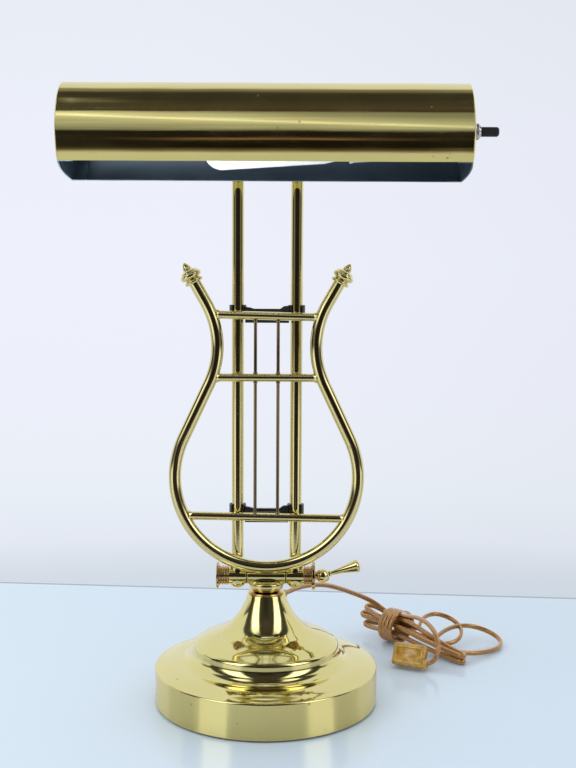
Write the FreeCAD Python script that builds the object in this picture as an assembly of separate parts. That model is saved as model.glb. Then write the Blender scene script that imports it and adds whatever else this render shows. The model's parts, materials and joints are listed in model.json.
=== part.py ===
import FreeCAD
import Part

import math
import os

# Piano lamp: a weighted round base, a clamped pivot, two posts with a lyre in front of
# them, and a long half-round shade on a second pivot.  Millimetres, +Z up, +X to the
# right, -Y towards the player; the origin is the centre of the foot on the table.

# ---- base ----------------------------------------------------------------------------------------
base_radius = 109.0
base_wall = 1.0
felt_thickness = 3.0
felt_inset = 2.5            # the felt stops this far inside the rim
shoulder_z = 36.0           # height of the domed shoulder at the rim
rim_corner_radius = 1.6
step_radius = 77.4          # middle of the cove at the foot of the step
cove_length = 6.6           # the cove runs this far out from its middle
shoulder_rise = 5.0         # the shoulder rises this much from the rim to the cove
ledge_radius = 74.6         # top edge of the steep step
ledge_z = 46.4
plate_radius = 71.2         # rounded edge of the upper plate
plate_edge_z = 52.4
plate_edge_height = 6.6
throat_radius = 33.5        # where the steep neck turns into the flared bell
throat_z = 79.0
bell_radius = 52.0          # where the flare ends in a straight slope
bell_z = 67.8
neck_radius = 18.3
neck_top_z = 107.0
cover_thickness = 1.4
cover_clearance = 0.3
weight_radius = 95.0
weight_height = 14.0
weight_recess_radius = 14.0
weight_recess_depth = 9.0

# ---- stem through the base -----------------------------------------------------------------------
nipple_radius = 4.85
nipple_bore = 3.4
nipple_bottom_z = 5.6
nipple_clearance = 0.15
nipple_engagement = 8.0
stem_tube_radius = 7.5
nut_flats = 17.0
nut_height = 5.0
lock_washer_radius = 9.5
lock_washer_thickness = 1.0
collar_height = 1.8
collar_radius = 17.6

# ---- lower pivot ---------------------------------------------------------------------------------
pivot_z = 124.0
barrel_radius = 8.6
centre_half_length = 18.4
cup_radius = 17.4
cup_foot_radius = 11.2
friction_washer_thickness = 1.0
friction_washer_radius = 7.8
running_gap = 0.1           # between flat faces that turn on each other
knuckle_length = 17.4
bolt_radius = 4.0
bolt_clearance = 0.05
boss_radius = 7.4
boss_height = 15.0
dome_radius = 7.9
dome_depth = 11.6
dome_straight = 7.0
socket_floor = 6.0          # floor of the post socket above the pivot axis
ring_length = 7.2
ring_radius = 9.4
ring_groove_radius = 7.6
left_ring_extra = 1.7
left_disc_radius = 12.9
left_disc_thickness = 3.2
right_disc_radius = 13.7
right_disc_thickness = 3.9
disc_bore_depth = 2.0

# ---- clamp lever ---------------------------------------------------------------------------------
ball_radius = 7.0
ball_gap = 0.3
ball_bore_depth = 5.0
lever_angle = 17.0          # the handle points this far above the pivot axis
lever_length = 38.5
lever_neck_radius = 2.1
lever_end_radius = 6.6
lever_stem_radius = 1.8
lever_stem_depth = 3.2

# ---- posts ---------------------------------------------------------------------------------------
post_spacing = 56.4
post_radius = 5.9
post_wall = 1.0
post_socket_clearance = 0.05
wire_radius = 1.6
wire_clearance = 0.1

# ---- lyre ----------------------------------------------------------------------------------------
lyre_y = -14.4
lyre_radius = 6.0
lyre_wall = 1.0
bowl_radius = 88.0
bowl_bottom_z = 136.0
bowl_centre_z = bowl_bottom_z + bowl_radius
waist_half_width = 47.0
waist_gap = 37.8            # the waist's middle above the top of the bowl's circle
waist_z = bowl_centre_z + bowl_radius + waist_gap
waist_radius = 85.0
arm_lean = 29.5             # lean of the arm ends from the vertical, in degrees
arm_end_rise = 29.5         # the arms end this far above the top bar
bar_radius = 4.0
top_bar_offset = 29.2       # the top bar sits this far above the waist's middle
top_bar_z = waist_z + top_bar_offset
top_bar_rise = 1.2          # the top bar sits this much higher at its left end
middle_bar_offset = 29.6    # the middle bar sits this far below the waist's middle
middle_bar_z = waist_z - middle_bar_offset
bottom_bar_offset = 38.8    # the bottom bar sits this far below the bowl's centre
bottom_bar_z = bowl_centre_z - bottom_bar_offset
bottom_bar_rise = 1.2
string_radius = 1.6
string_half_spacing = 10.8
string_seat = 2.0
string_clearance = 0.05
finial_length = 21.0
finial_plug_radius = 4.9
finial_plug_length = 6.0

# ---- clips that hold the lyre to the posts -------------------------------------------------------
clip_height = 17.0
clip_lift = 1.6             # the clip's middle above its bar
clip_wall = 2.2
clip_bore_clearance = 0.15
clip_mouth_half_width = 4.6
bridge_front = -6.6
bridge_back = -2.2
saddle_half_length = 15.0
saddle_height = 8.5
saddle_clearance = 0.05
screw_radius = 1.5
screw_head_radius = 2.8
screw_head_height = 1.8
screw_half_spacing = 5.0
screw_clearance = 0.05

# ---- upper pivot and shade -----------------------------------------------------------------------
shade_pivot_z = 540.0
acorn_length = 9.5
acorn_radius = 7.4
acorn_straight = 3.4
acorn_bore_depth = 5.0
shade_half_length = 177.0
shade_radius = 45.9
shade_wall = 0.8
shade_y = -66.6
shade_z = 539.8
mouth_half_angle = 45.75    # half of the open arc of the section
mouth_tilt = 9.75           # the mouth turns this far towards the player
cap_wall = 1.0
cap_dome = 6.0
cap_flange_length = 12.0
cap_flange_gap = 0.1
shade_nipple_end = 12.0     # how far the nipple stands inside the shade's back
shade_nipple_root = 6.2
shade_saddle_radius = 11.0
shade_saddle_thickness = 3.2
shade_nut_flats = 15.0
seat_clearance = 0.05

# ---- lamp holder and bulb ------------------------------------------------------------------------
strap_width = 12.0
strap_thickness = 1.5
strap_left = -9.0
holder_back_x = 118.0
holder_z = 536.0
holder_radius = 16.5
holder_bore = 14.2
holder_length = 44.0
holder_plate_reach = 12.0
bulb_droop = 3.7            # the bulb hangs this many degrees below level
bulb_base_radius = 13.1
bulb_base_length = 25.0
bulb_contact_length = 3.0
bulb_base_gap = 0.3
bulb_neck_radius = 13.0
bulb_radius = 16.0
bulb_glass_length = 128.0
bulb_shoulder_length = 14.0

# ---- switch --------------------------------------------------------------------------------------
switch_z = 544.4
switch_body_radius = 14.0
switch_body_length = 26.0
switch_body_setback = 1.0   # the body sits this far inside the end cap
switch_bush_radius = 5.0
switch_bush_length = 9.5
switch_hole_clearance = 0.2
switch_shaft_radius = 2.0
switch_shaft_length = 7.0
switch_washer_radius = 8.8
switch_washer_thickness = 1.3
switch_nut_radius = 7.0
switch_nut_thickness = 4.6
knob_radius = 4.3
knob_length = 16.2
knob_gap = 0.3
knob_bore_clearance = 0.05
lead_radius = 1.2
lead_half_spacing = 5.0

# ---- cord ----------------------------------------------------------------------------------------
cord_radius = 2.8
cord_exit_z = 97.0
cord_exit_angle = 60.0      # compass angle of the exit, from +X towards +Y
bushing_radius = 4.6
bushing_flange_radius = 5.8
bushing_start = 15.5        # distances from the stem's axis
bushing_flange_end = 26.0
bushing_end = 36.0
bushing_tip_radius = 3.6
bushing_hole_clearance = 0.1
lead_route = [(29, 50.2, 97), (45, 74, 94), (62, 99, 87), (78, 126, 75.5), (93, 151, 63.5),
              (107, 171, 53), (120, 182, 43.5), (131, 186, 34)]
hank_left = (108.0, 206.0, 24.0)
hank_right = (212.0, 95.0, 8.0)
hank_outline = [(7.0, 0.0), (15.5, 6.0), (17.5, 20.0), (16.5, 34.0), (21.0, 38.0), (21.8, 46.0),
                (21.0, 55.0), (18.5, 60.0), (18.0, 78.0), (13.5, 100.0), (10.5, 125.0), (8.5, 146.0),
                (5.0, 152.6)]
hank_floor_clearance = 0.3
small_loop_route = [(168.5, 153.1, 20), (174.4, 170.2, 29), (189.2, 184.8, 30), (202.3, 186.4, 27),
                    (214.1, 180, 22.5), (219.7, 167.8, 17), (217.2, 154.8, 11.5), (207.2, 145.5, 8),
                    (194, 142.7, 7.5), (181.3, 143.1, 9.5)]
large_loop_route = [(183.5, 135.6, 14), (196.1, 152.9, 19), (211.8, 168.3, 20), (229, 181.6, 17),
                    (244.2, 183.5, 13), (257.5, 176.2, 9), (264, 162.4, 5.5), (261.1, 147.3, 3.6),
                    (246.4, 131.5, 3.4), (227.6, 119.3, 5), (206.5, 113.3, 8)]
end_route = [(165.2, 76.6, 7.8), (173.8, 73.7, 9.4), (180, 76, 17), (182, 83, 27), (180, 94, 36),
             (174, 108, 42), (165, 124, 43.5), (156, 139, 40.5), (149.5, 151.5, 31.5)]

# ---- plug ----------------------------------------------------------------------------------------
plug_centre = (152.0, 86.0)
plug_length = 36.0
plug_height = 24.0
plug_thickness = 13.0
plug_corner = 3.0
plug_turn = -24.0           # turn about the vertical
plug_lean = 28.0            # lean back from upright
plug_exit_height = -7.0     # the cord leaves the right end this far below its middle
plug_collar_radius = 4.6
plug_collar_length = 2.4
blade_length = 16.0
blade_root = 4.0            # this much of each blade is moulded into the body
blade_width = 6.4
blade_thickness = 1.5
blade_spacing = 12.7

X_AXIS = FreeCAD.Vector(1, 0, 0)
Y_AXIS = FreeCAD.Vector(0, 1, 0)
Z_AXIS = FreeCAD.Vector(0, 0, 1)
SIDES = (("left", -1), ("right", 1))


def vec(x, y, z):
    return FreeCAD.Vector(x, y, z)


def turned(outline, origin=(0, 0, 0), axis=(0, 0, 1)):
    """A solid of revolution.

    The outline is a closed list of (radius, height) points; a point of four values is the
    middle and the end of an arc.  It is turned about an axis through origin."""
    edges = []
    here = outline[0]
    for point in outline[1:] + outline[:1]:
        start = vec(here[0], 0, here[1])
        end = vec(point[-2], 0, point[-1])
        if len(point) == 4:
            edges.append(Part.Arc(start, vec(point[0], 0, point[1]), end).toShape())
        elif start.distanceToPoint(end) > 1e-9:
            edges.append(Part.LineSegment(start, end).toShape())
        here = point[-2:]
    face = Part.Face(Part.Wire(edges))
    solid = face.revolve(vec(0, 0, 0), Z_AXIS, 360)
    return placed(solid, origin, axis)


def dome_middle(radius, foot, crown):
    """The middle of a spherical arc from (radius, foot) to a crown on the axis."""
    rise = crown - foot
    ball = (rise**2 + radius**2) / (2 * rise)
    half_turn = math.asin(min(radius / abs(ball), 1)) / 2
    return (abs(ball) * math.sin(half_turn), crown - ball + ball * math.cos(half_turn))


def placed(shape, origin, axis):
    """The shape moved from the origin to a new one, with +Z turned to the axis."""
    turn = FreeCAD.Rotation(Z_AXIS, vec(*axis))
    moved = shape.copy()
    moved.Placement = FreeCAD.Placement(vec(*origin), turn)
    return moved


def rod(radius, start, end):
    """A plain cylinder between two points."""
    start = vec(*start)
    along = vec(*end) - start
    return Part.makeCylinder(radius, along.Length, start, along)


def tube(outer, inner, start, end):
    return rod(outer, start, end).cut(rod(inner, start, end))


def box(x, y, z):
    """A box from three (low, high) pairs."""
    return Part.makeBox(x[1] - x[0], y[1] - y[0], z[1] - z[0], vec(x[0], y[0], z[0]))


def hexagon(flats, height, origin, axis):
    corner = flats / math.sqrt(3)
    points = [vec(corner * math.cos(math.radians(60 * i)), corner * math.sin(math.radians(60 * i)), 0)
              for i in range(7)]
    prism = Part.Face(Part.makePolygon(points)).extrude(vec(0, 0, height))
    return placed(prism, origin, axis)


def swept(wire, radius):
    """A round rod along a wire."""
    edge = wire.Edges[0]
    start = edge.valueAt(edge.FirstParameter)
    section = Part.Wire(Part.Circle(start, edge.tangentAt(edge.FirstParameter), radius).toShape())
    return wire.makePipeShell([section], True, False)


def rounded_route(points, name):
    """Straight runs joined by the largest tangent arcs that their lengths allow."""
    points = [vec(*p) for p in points]
    edges = []
    radii = []
    here = points[0]
    for before, corner, after in zip(points, points[1:], points[2:]):
        into = (corner - before).normalize()
        out = (after - corner).normalize()
        half_turn = into.getAngle(out) / 2
        reach = 0.45 * min((corner - before).Length, (after - corner).Length)
        radius = reach / math.tan(half_turn)
        start = corner - into * reach
        end = corner + out * reach
        inward = (out - into).normalize()
        middle = corner + inward * (radius / math.cos(half_turn) - radius)
        edges.append(Part.LineSegment(here, start).toShape())
        edges.append(Part.Arc(start, middle, end).toShape())
        radii.append(radius)
        here = end
    edges.append(Part.LineSegment(here, points[-1]).toShape())
    wire = Part.Wire(edges)
    print(f"{name}: length {wire.Length:.1f}, arc radii {[round(r) for r in radii]}")
    return wire


def cord_tube(points, name):
    wire = rounded_route(points, name)
    solid = swept(wire, cord_radius)
    ideal = math.pi * cord_radius**2 * wire.Length
    print(f"{name}: volume / (section x length) = {solid.Volume / ideal:.4f}")
    return solid


# ---- base ----------------------------------------------------------------------------------------

def base_profile(inset):
    """The outline of the spun shell, moved in and down by inset."""
    half_edge = plate_edge_height / 2
    corner = rim_corner_radius * (1 - math.sqrt(0.5))
    cove_radius = step_radius + cove_length
    cove_z = shoulder_z + shoulder_rise
    rim_radius = base_radius - rim_corner_radius
    points = [
        (0, neck_top_z), (neck_radius, neck_top_z),
        ((neck_radius + throat_radius) / 2 - 1.9, (neck_top_z + throat_z) / 2 - 1.0, throat_radius,
         throat_z),
        ((throat_radius + bell_radius) / 2 - 0.9, (throat_z + bell_z) / 2 - 1.5, bell_radius, bell_z),
        (plate_radius - 2.6, plate_edge_z + plate_edge_height),
        (plate_radius - 0.5, plate_edge_z + 1.4 * half_edge, plate_radius, plate_edge_z + half_edge),
        (plate_radius, plate_edge_z),
        (plate_radius + 0.8, plate_edge_z - 3.4, ledge_radius, ledge_z),
        (step_radius, (ledge_z + cove_z) / 2 - 1.0, cove_radius, cove_z),
        ((cove_radius + rim_radius) / 2, (cove_z + shoulder_z) / 2 + 1.0, rim_radius, shoulder_z),
        (base_radius - corner, shoulder_z - corner, base_radius, shoulder_z - rim_corner_radius),
        (base_radius, felt_thickness), (0, felt_thickness),
    ]
    moved = []
    for point in points:
        shifted = []
        for i in range(0, len(point), 2):
            shifted += [max(point[i] - inset, 0), point[i + 1] - inset]
        moved.append(tuple(shifted))
    return moved


def exit_point(distance):
    """A point on the cord's way out of the neck."""
    angle = math.radians(cord_exit_angle)
    return (distance * math.cos(angle), distance * math.sin(angle), cord_exit_z)


def make_base_shell():
    shell = turned(base_profile(0)).cut(turned(base_profile(base_wall)))
    shell = shell.cut(rod(nipple_radius + nipple_clearance, (0, 0, neck_top_z - 10),
                          (0, 0, neck_top_z + 1)))
    return shell.cut(rod(bushing_radius + bushing_hole_clearance, exit_point(0), exit_point(bushing_end)))


def make_base_inside():
    """The closing plate, weight, felt and the stem that pulls them together."""
    cover_top = felt_thickness + cover_thickness
    weight_top = cover_top + weight_height
    recess_top = cover_top + weight_recess_depth
    hole = nipple_radius + nipple_clearance
    neck_inside_z = neck_top_z - base_wall
    nut_top = recess_top - lock_washer_thickness
    weight = turned([(hole, recess_top), (weight_recess_radius, recess_top),
                     (weight_recess_radius, cover_top),
                     (weight_radius, cover_top), (weight_radius, weight_top - 2),
                     (weight_radius - 2, weight_top), (hole, weight_top)])
    nipple_top = neck_top_z + collar_height + nipple_engagement
    nipple = tube(nipple_radius, nipple_bore, (0, 0, nipple_bottom_z), (0, 0, nipple_top))
    stem = tube(stem_tube_radius, hole, (0, 0, weight_top), (0, 0, neck_inside_z))
    window = rod(bushing_radius + 1, exit_point(0), exit_point(stem_tube_radius + 2))
    nut = hexagon(nut_flats, nut_height, (0, 0, nut_top - nut_height), (0, 0, 1))
    washer = tube(lock_washer_radius, hole, (0, 0, nut_top), (0, 0, recess_top))
    return {
        "felt_pad": rod(base_radius - felt_inset, (0, 0, 0), (0, 0, felt_thickness)),
        "base_cover": rod(base_radius - base_wall - cover_clearance, (0, 0, felt_thickness),
                          (0, 0, cover_top)),
        "base_weight": weight,
        "base_nipple": nipple.cut(window),
        "stem_tube": stem.cut(window),
        "base_nut": nut.cut(rod(hole, (0, 0, 0), (0, 0, recess_top))),
        "base_lock_washer": washer,
    }


def make_neck_collar():
    hole = nipple_radius + nipple_clearance
    low = neck_top_z
    top = neck_top_z + collar_height
    edge = collar_radius - collar_height / 2
    return turned([(hole, low), (edge, low), (collar_radius, (low + top) / 2, edge, top), (hole, top)])


def make_cord_bushing():
    outside = turned(base_profile(0))
    relief = turned([(0, bushing_start), (bushing_flange_radius, bushing_start),
                     (bushing_flange_radius, bushing_flange_end - 1),
                     (bushing_flange_radius - 1, bushing_flange_end),
                     (bushing_radius, bushing_flange_end), (bushing_tip_radius, bushing_end),
                     (0, bushing_end)],
                    (0, 0, cord_exit_z), exit_point(1)[:2] + (0,))
    barrel = rod(bushing_radius, exit_point(bushing_start), exit_point(bushing_flange_end - 1))
    return relief.cut(outside).fuse(barrel).removeSplitter()


# ---- pivots --------------------------------------------------------------------------------------

def edge_eased(radius, low, high, ease=0.6):
    """The outline of a turned drum with eased edges."""
    return [(0, low), (radius - ease, low), (radius, low + ease), (radius, high - ease),
            (radius - ease, high), (0, high)]


def along_x(shape_outline, centre_y, centre_z, side=1):
    return turned(shape_outline, (0, centre_y, centre_z), (side, 0, 0))


def bolt_hole(centre_z, reach=60.0):
    return rod(bolt_radius + bolt_clearance, (-reach, 0, centre_z), (reach, 0, centre_z))


knuckle_start = centre_half_length + friction_washer_thickness + running_gap
knuckle_end = knuckle_start + knuckle_length


def make_centre_knuckle():
    """The fixed barrel of the lower pivot with its cup on the neck."""
    foot = neck_top_z + collar_height
    barrel = along_x(edge_eased(barrel_radius, -centre_half_length, centre_half_length), 0, pivot_z)
    cup = turned([(0, foot), (cup_foot_radius, foot),
                  (cup_radius - 1.4, foot + 3.6, cup_radius, foot + 8.0),
                  (cup_radius - 2.6, foot + 11.4, 0, foot + 13.4)])
    hole = rod(nipple_radius + nipple_clearance, (0, 0, foot - 1), (0, 0, foot + nipple_engagement + 0.3))
    return barrel.fuse(cup).removeSplitter().cut(bolt_hole(pivot_z)).cut(hole)


def make_knuckle(side, centre_z, up):
    """An outer knuckle: a barrel, a boss that takes the post, and a domed far side."""
    x = side * post_spacing / 2
    middle = side * (knuckle_start + knuckle_end) / 2
    barrel = placed(turned(edge_eased(barrel_radius, -knuckle_length / 2, knuckle_length / 2)),
                    (middle, 0, centre_z), (1, 0, 0))
    dome = dome_middle(dome_radius, -dome_straight, -dome_depth)
    boss = turned([(0, boss_height), (boss_radius - 0.8, boss_height), (boss_radius, boss_height - 0.8),
                   (boss_radius, 0), (dome_radius, 0), (dome_radius, -dome_straight),
                   dome + (0, -dome_depth)], (x, 0, centre_z), (0, 0, up))
    socket = rod(post_radius + post_socket_clearance, (x, 0, centre_z + up * socket_floor),
                 (x, 0, centre_z + up * (boss_height + 1)))
    inward = box((-knuckle_start, knuckle_start), (-20, 20), (centre_z - 20, centre_z + 20))
    return barrel.fuse(boss).removeSplitter().cut(inward).cut(socket).cut(bolt_hole(centre_z))


def ring_outline(length, groove_count=2):
    """A grooved ring, from 0 to its length."""
    pitch = length / (2 * groove_count + 1)
    points = [(0, 0), (ring_radius, 0)]
    for i in range(groove_count):
        start = (2 * i + 1) * pitch
        points += [(ring_radius, start), (ring_groove_radius, start),
                   (ring_groove_radius, start + pitch), (ring_radius, start + pitch)]
    return points + [(ring_radius, length), (0, length)]


def disc_outline(radius, thickness):
    """A thin disc with a rounded edge and a shallow hub."""
    half = thickness / 2
    return [(0, 0), (radius - half, 0), (radius, half, radius - half, thickness), (0, thickness)]


right_ring_end = knuckle_end + running_gap + ring_length
left_ring_end = right_ring_end + left_ring_extra
right_disc_end = right_ring_end + right_disc_thickness
ball_x = right_disc_end + ball_gap + ball_radius


def make_lower_pivot():
    ring_start = knuckle_end + running_gap
    hole = bolt_hole(pivot_z, left_ring_end + disc_bore_depth)
    washers = [tube(friction_washer_radius, bolt_radius + bolt_clearance,
                    (side * centre_half_length, 0, pivot_z),
                    (side * (centre_half_length + friction_washer_thickness), 0, pivot_z)) for _,
                    side in SIDES]
    right_ring = turned(ring_outline(ring_length), (ring_start, 0, pivot_z), (1, 0, 0))
    left_ring = turned(ring_outline(ring_length + left_ring_extra, 3), (-ring_start, 0, pivot_z),
                       (-1, 0, 0))
    right_disc = turned(disc_outline(right_disc_radius, right_disc_thickness),
                        (right_ring_end, 0, pivot_z), (1, 0, 0))
    left_disc = turned(disc_outline(left_disc_radius, left_disc_thickness),
                       (-left_ring_end, 0, pivot_z), (-1, 0, 0))
    bolt_end = ball_x - ball_radius + ball_bore_depth - 0.3
    return {
        "pivot_bolt": rod(bolt_radius, (-left_ring_end - disc_bore_depth + 0.1, 0, pivot_z),
                          (bolt_end, 0, pivot_z)),
        "friction_washers": Part.makeCompound(washers),
        "left_pivot_ring": left_ring.cut(hole),
        "right_pivot_ring": right_ring.cut(hole),
        "left_pivot_disc": left_disc.cut(hole),
        "right_pivot_disc": right_disc.cut(bolt_hole(pivot_z)),
    }


def make_lever():
    angle = math.radians(lever_angle)
    direction = (math.cos(angle), 0, math.sin(angle))
    centre = vec(ball_x, 0, pivot_z)
    ball = Part.makeSphere(ball_radius, centre)
    bore = rod(bolt_radius + bolt_clearance, (ball_x - ball_radius - 1, 0, pivot_z),
               (ball_x - ball_radius + ball_bore_depth, 0, pivot_z))
    seat = ball_radius - lever_stem_depth
    stem_hole = placed(Part.makeCylinder(lever_stem_radius + bolt_clearance, 2 * lever_stem_depth,
                                         vec(0, 0, seat)),
                       centre, direction)
    neck = ball_radius - 0.1
    end = lever_length - 3.4
    handle = turned([(0, seat), (lever_stem_radius, seat), (lever_stem_radius, neck + 0.2),
                     (lever_neck_radius, neck + 0.2),
                     (lever_neck_radius, neck + 2.2), (lever_end_radius, end),
                     dome_middle(lever_end_radius, end, lever_length) + (0, lever_length)],
                    tuple(centre), direction)
    return {"lever_ball": ball.cut(bore).cut(stem_hole), "lever_handle": handle}


# ---- posts ---------------------------------------------------------------------------------------

def make_posts():
    low = pivot_z + socket_floor + post_socket_clearance
    high = shade_pivot_z - socket_floor - post_socket_clearance
    parts = {}
    for name, side in SIDES:
        x = side * post_spacing / 2
        parts[name + "_post"] = tube(post_radius, post_radius - post_wall, (x, 0, low), (x, 0, high))
    wire_x = post_spacing / 2 + post_radius - post_wall - wire_radius - wire_clearance
    parts["post_wire"] = rod(wire_radius, (wire_x, 0, low + 1), (wire_x, 0, high - 1))
    return parts


# ---- lyre ----------------------------------------------------------------------------------------

def lyre_half_width(z):
    """The distance of the lyre's centre line from the middle at a height on one of its arcs."""
    if z < bowl_centre_z:
        return math.sqrt(bowl_radius**2 - (z - bowl_centre_z) ** 2)
    return waist_half_width + waist_radius - math.sqrt(waist_radius**2 - (z - waist_z) ** 2)


def lyre_wire():
    """The centre line: arm, waist, flank, bowl, flank, waist and arm."""
    across = waist_half_width + waist_radius
    rise = waist_z - bowl_centre_z
    flank = math.atan2(rise, across) - math.acos((bowl_radius + waist_radius) / math.hypot(across, rise))
    lean = math.radians(arm_lean)

    def bowl_point(angle):
        return bowl_radius * math.cos(angle), bowl_centre_z + bowl_radius * math.sin(angle)

    def waist_point(angle):
        return across - waist_radius * math.cos(angle), waist_z + waist_radius * math.sin(angle)

    arm_x, arm_z = waist_point(lean)
    end_z = top_bar_z + arm_end_rise
    end_x = arm_x + (end_z - arm_z) * math.tan(lean)
    half = [(end_x, end_z), (arm_x, arm_z), waist_point((lean - flank) / 2), waist_point(-flank),
            bowl_point(flank)]
    right = [vec(x, lyre_y, z) for x, z in half]
    left = [vec(-x, lyre_y, z) for x, z in half]
    bottom = vec(0, lyre_y, bowl_centre_z - bowl_radius)
    edges = [
        Part.LineSegment(left[0], left[1]), Part.Arc(left[1], left[2], left[3]),
        Part.LineSegment(left[3], left[4]),
        Part.Arc(left[4], bottom, right[4]),
        Part.LineSegment(right[4], right[3]), Part.Arc(right[3], right[2], right[1]),
        Part.LineSegment(right[1], right[0]),
    ]
    return Part.Wire([edge.toShape() for edge in edges]), right[0]


def make_bar(z, rise, frame_solid, holes):
    """A crossbar coped to the lyre's tube, with its left end higher by the rise."""
    half = lyre_half_width(z)
    bar = rod(bar_radius, (-half, lyre_y, z + rise), (half, lyre_y, z - rise)).cut(frame_solid)
    for hole in holes:
        bar = bar.cut(hole)
    return bar


def string_ends(x):
    """The heights between which a string runs, seated in the top and bottom bars."""
    top = top_bar_z - top_bar_rise * x / lyre_half_width(top_bar_z) - bar_radius + string_seat
    bottom = bottom_bar_z - bottom_bar_rise * x / lyre_half_width(bottom_bar_z) + bar_radius - string_seat
    return bottom, top


def screw_places():
    """The clip screws as (x, z), two to each clip."""
    return [(side * screw_half_spacing, z) for z in (top_bar_z, bottom_bar_z) for _, side in SIDES]


def make_lyre():
    wire, arm_end = lyre_wire()
    solid = swept(wire, lyre_radius)
    parts = {"lyre_tube": solid.cut(swept(wire, lyre_radius - lyre_wall))}
    holes = []
    for name, side in SIDES:
        x = side * string_half_spacing
        bottom, top = string_ends(x)
        parts[name + "_string"] = rod(string_radius, (x, lyre_y, bottom), (x, lyre_y, top))
        holes.append(rod(string_radius + string_clearance, (x, lyre_y, bottom - string_clearance),
                         (x, lyre_y, top + string_clearance)))
    for x, z in screw_places():
        holes.append(rod(screw_radius + screw_clearance, (x, lyre_y - screw_clearance, z), (x, 0, z)))
    parts["top_bar"] = make_bar(top_bar_z, top_bar_rise, solid, holes)
    parts["middle_bar"] = make_bar(middle_bar_z, 0, solid, holes)
    parts["bottom_bar"] = make_bar(bottom_bar_z, bottom_bar_rise, solid, holes)
    lean = math.radians(arm_lean)
    for name, side in SIDES:
        direction = (side * math.sin(lean), 0, math.cos(lean))
        parts[name + "_finial"] = make_finial((side * arm_end.x, lyre_y, arm_end.z), direction)
    parts["strings"] = Part.makeCompound([parts.pop("left_string"), parts.pop("right_string")])
    return parts


def make_finial(origin, direction):
    """A turned knob: a plug in the tube, a ring, a groove, a bun and a pointed button."""
    full = finial_length
    outline = [(0, -finial_plug_length), (finial_plug_radius, -finial_plug_length),
               (finial_plug_radius, 0), (7.4, 0),
               (8.4, 0.06 * full, 7.4, 0.12 * full), (6.0, 0.16 * full), (6.4, 0.22 * full),
               (9.4, 0.31 * full, 8.6, 0.40 * full), (7.2, 0.47 * full, 5.0, 0.56 * full),
               (3.4, 0.62 * full), (3.0, 0.68 * full), (3.3, 0.78 * full, 2.2, 0.87 * full), (0, full)]
    return turned(outline, origin, direction)


# ---- clips ---------------------------------------------------------------------------------------

def make_clip(bar_z, bar_rise):
    """A black clip: a snap ring round each post, a bridge, and a saddle on the crossbar."""
    low = bar_z + clip_lift - clip_height / 2
    high = low + clip_height
    bore = post_radius + clip_bore_clearance
    bridge = box((-post_spacing / 2, post_spacing / 2), (bridge_front, bridge_back), (low, high))
    saddle = box((-saddle_half_length, saddle_half_length), (lyre_y + 1.5, bridge_front),
                 (bar_z - saddle_height / 2, bar_z + saddle_height / 2))
    clip = bridge.fuse(saddle)
    for _, side in SIDES:
        x = side * post_spacing / 2
        clip = clip.fuse(rod(bore + clip_wall, (x, 0, low), (x, 0, high)))
    clip = clip.removeSplitter()
    for _, side in SIDES:
        x = side * post_spacing / 2
        mouth = box((x - clip_mouth_half_width, x + clip_mouth_half_width), (-3 * post_radius, 0),
                    (low - 1, high + 1))
        clip = clip.cut(rod(bore, (x, 0, low - 1), (x, 0, high + 1))).cut(mouth)
    half = lyre_half_width(bar_z)
    clip = clip.cut(rod(bar_radius + saddle_clearance, (-half, lyre_y, bar_z + bar_rise),
                        (half, lyre_y, bar_z - bar_rise)))
    for x, z in screw_places():
        clip = clip.cut(rod(screw_radius + screw_clearance, (x, lyre_y, z), (x, 1, z)))
    for _, side in SIDES:
        x = side * string_half_spacing
        clip = clip.cut(rod(string_radius + 0.3, (x, lyre_y, low - 1), (x, lyre_y, high + 1)))
    return clip


def make_clip_screws():
    screws = []
    for x, z in screw_places():
        screws.append(turned([(0, 0), (screw_radius, 0), (screw_radius, bridge_back - lyre_y),
                              (screw_head_radius, bridge_back - lyre_y),
                              (screw_head_radius, bridge_back - lyre_y + 0.7),
                              (0, bridge_back - lyre_y + screw_head_height)], (x, lyre_y, z), (0, 1, 0)))
    return Part.makeCompound(screws)


# ---- upper pivot ---------------------------------------------------------------------------------

shade_back_y = shade_y + shade_radius
shade_back_inside_y = shade_back_y - shade_wall
saddle_front_y = shade_back_inside_y - shade_saddle_thickness
strap_front_y = saddle_front_y - strap_thickness
shade_nut_front_y = strap_front_y - nut_height


def shade_rod(radius, reach=None):
    """A cylinder on the shade's axis."""
    reach = reach or shade_half_length + 30
    return rod(radius, (-reach, shade_y, shade_z), (reach, shade_y, shade_z))


def make_upper_pivot():
    washers = []
    nuts = []
    nut_start = knuckle_end + running_gap
    for _, side in SIDES:
        washers.append(tube(friction_washer_radius, bolt_radius + bolt_clearance,
                            (side * (centre_half_length + running_gap), 0, shade_pivot_z),
                            (side * knuckle_start, 0, shade_pivot_z)))
        nut = turned([(0, 0), (acorn_radius, 0), (acorn_radius, acorn_straight),
                      dome_middle(acorn_radius, acorn_straight, acorn_length) + (0, acorn_length)],
                     (side * nut_start, 0, shade_pivot_z), (side, 0, 0))
        nuts.append(nut.cut(bolt_hole(shade_pivot_z, nut_start + acorn_bore_depth)))
    bolt_end = nut_start + acorn_bore_depth - 0.1
    return {
        "top_bolt": rod(bolt_radius, (-bolt_end, 0, shade_pivot_z), (bolt_end, 0, shade_pivot_z)),
        "top_washers": Part.makeCompound(washers),
        "top_acorn_nuts": Part.makeCompound(nuts),
    }


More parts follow.
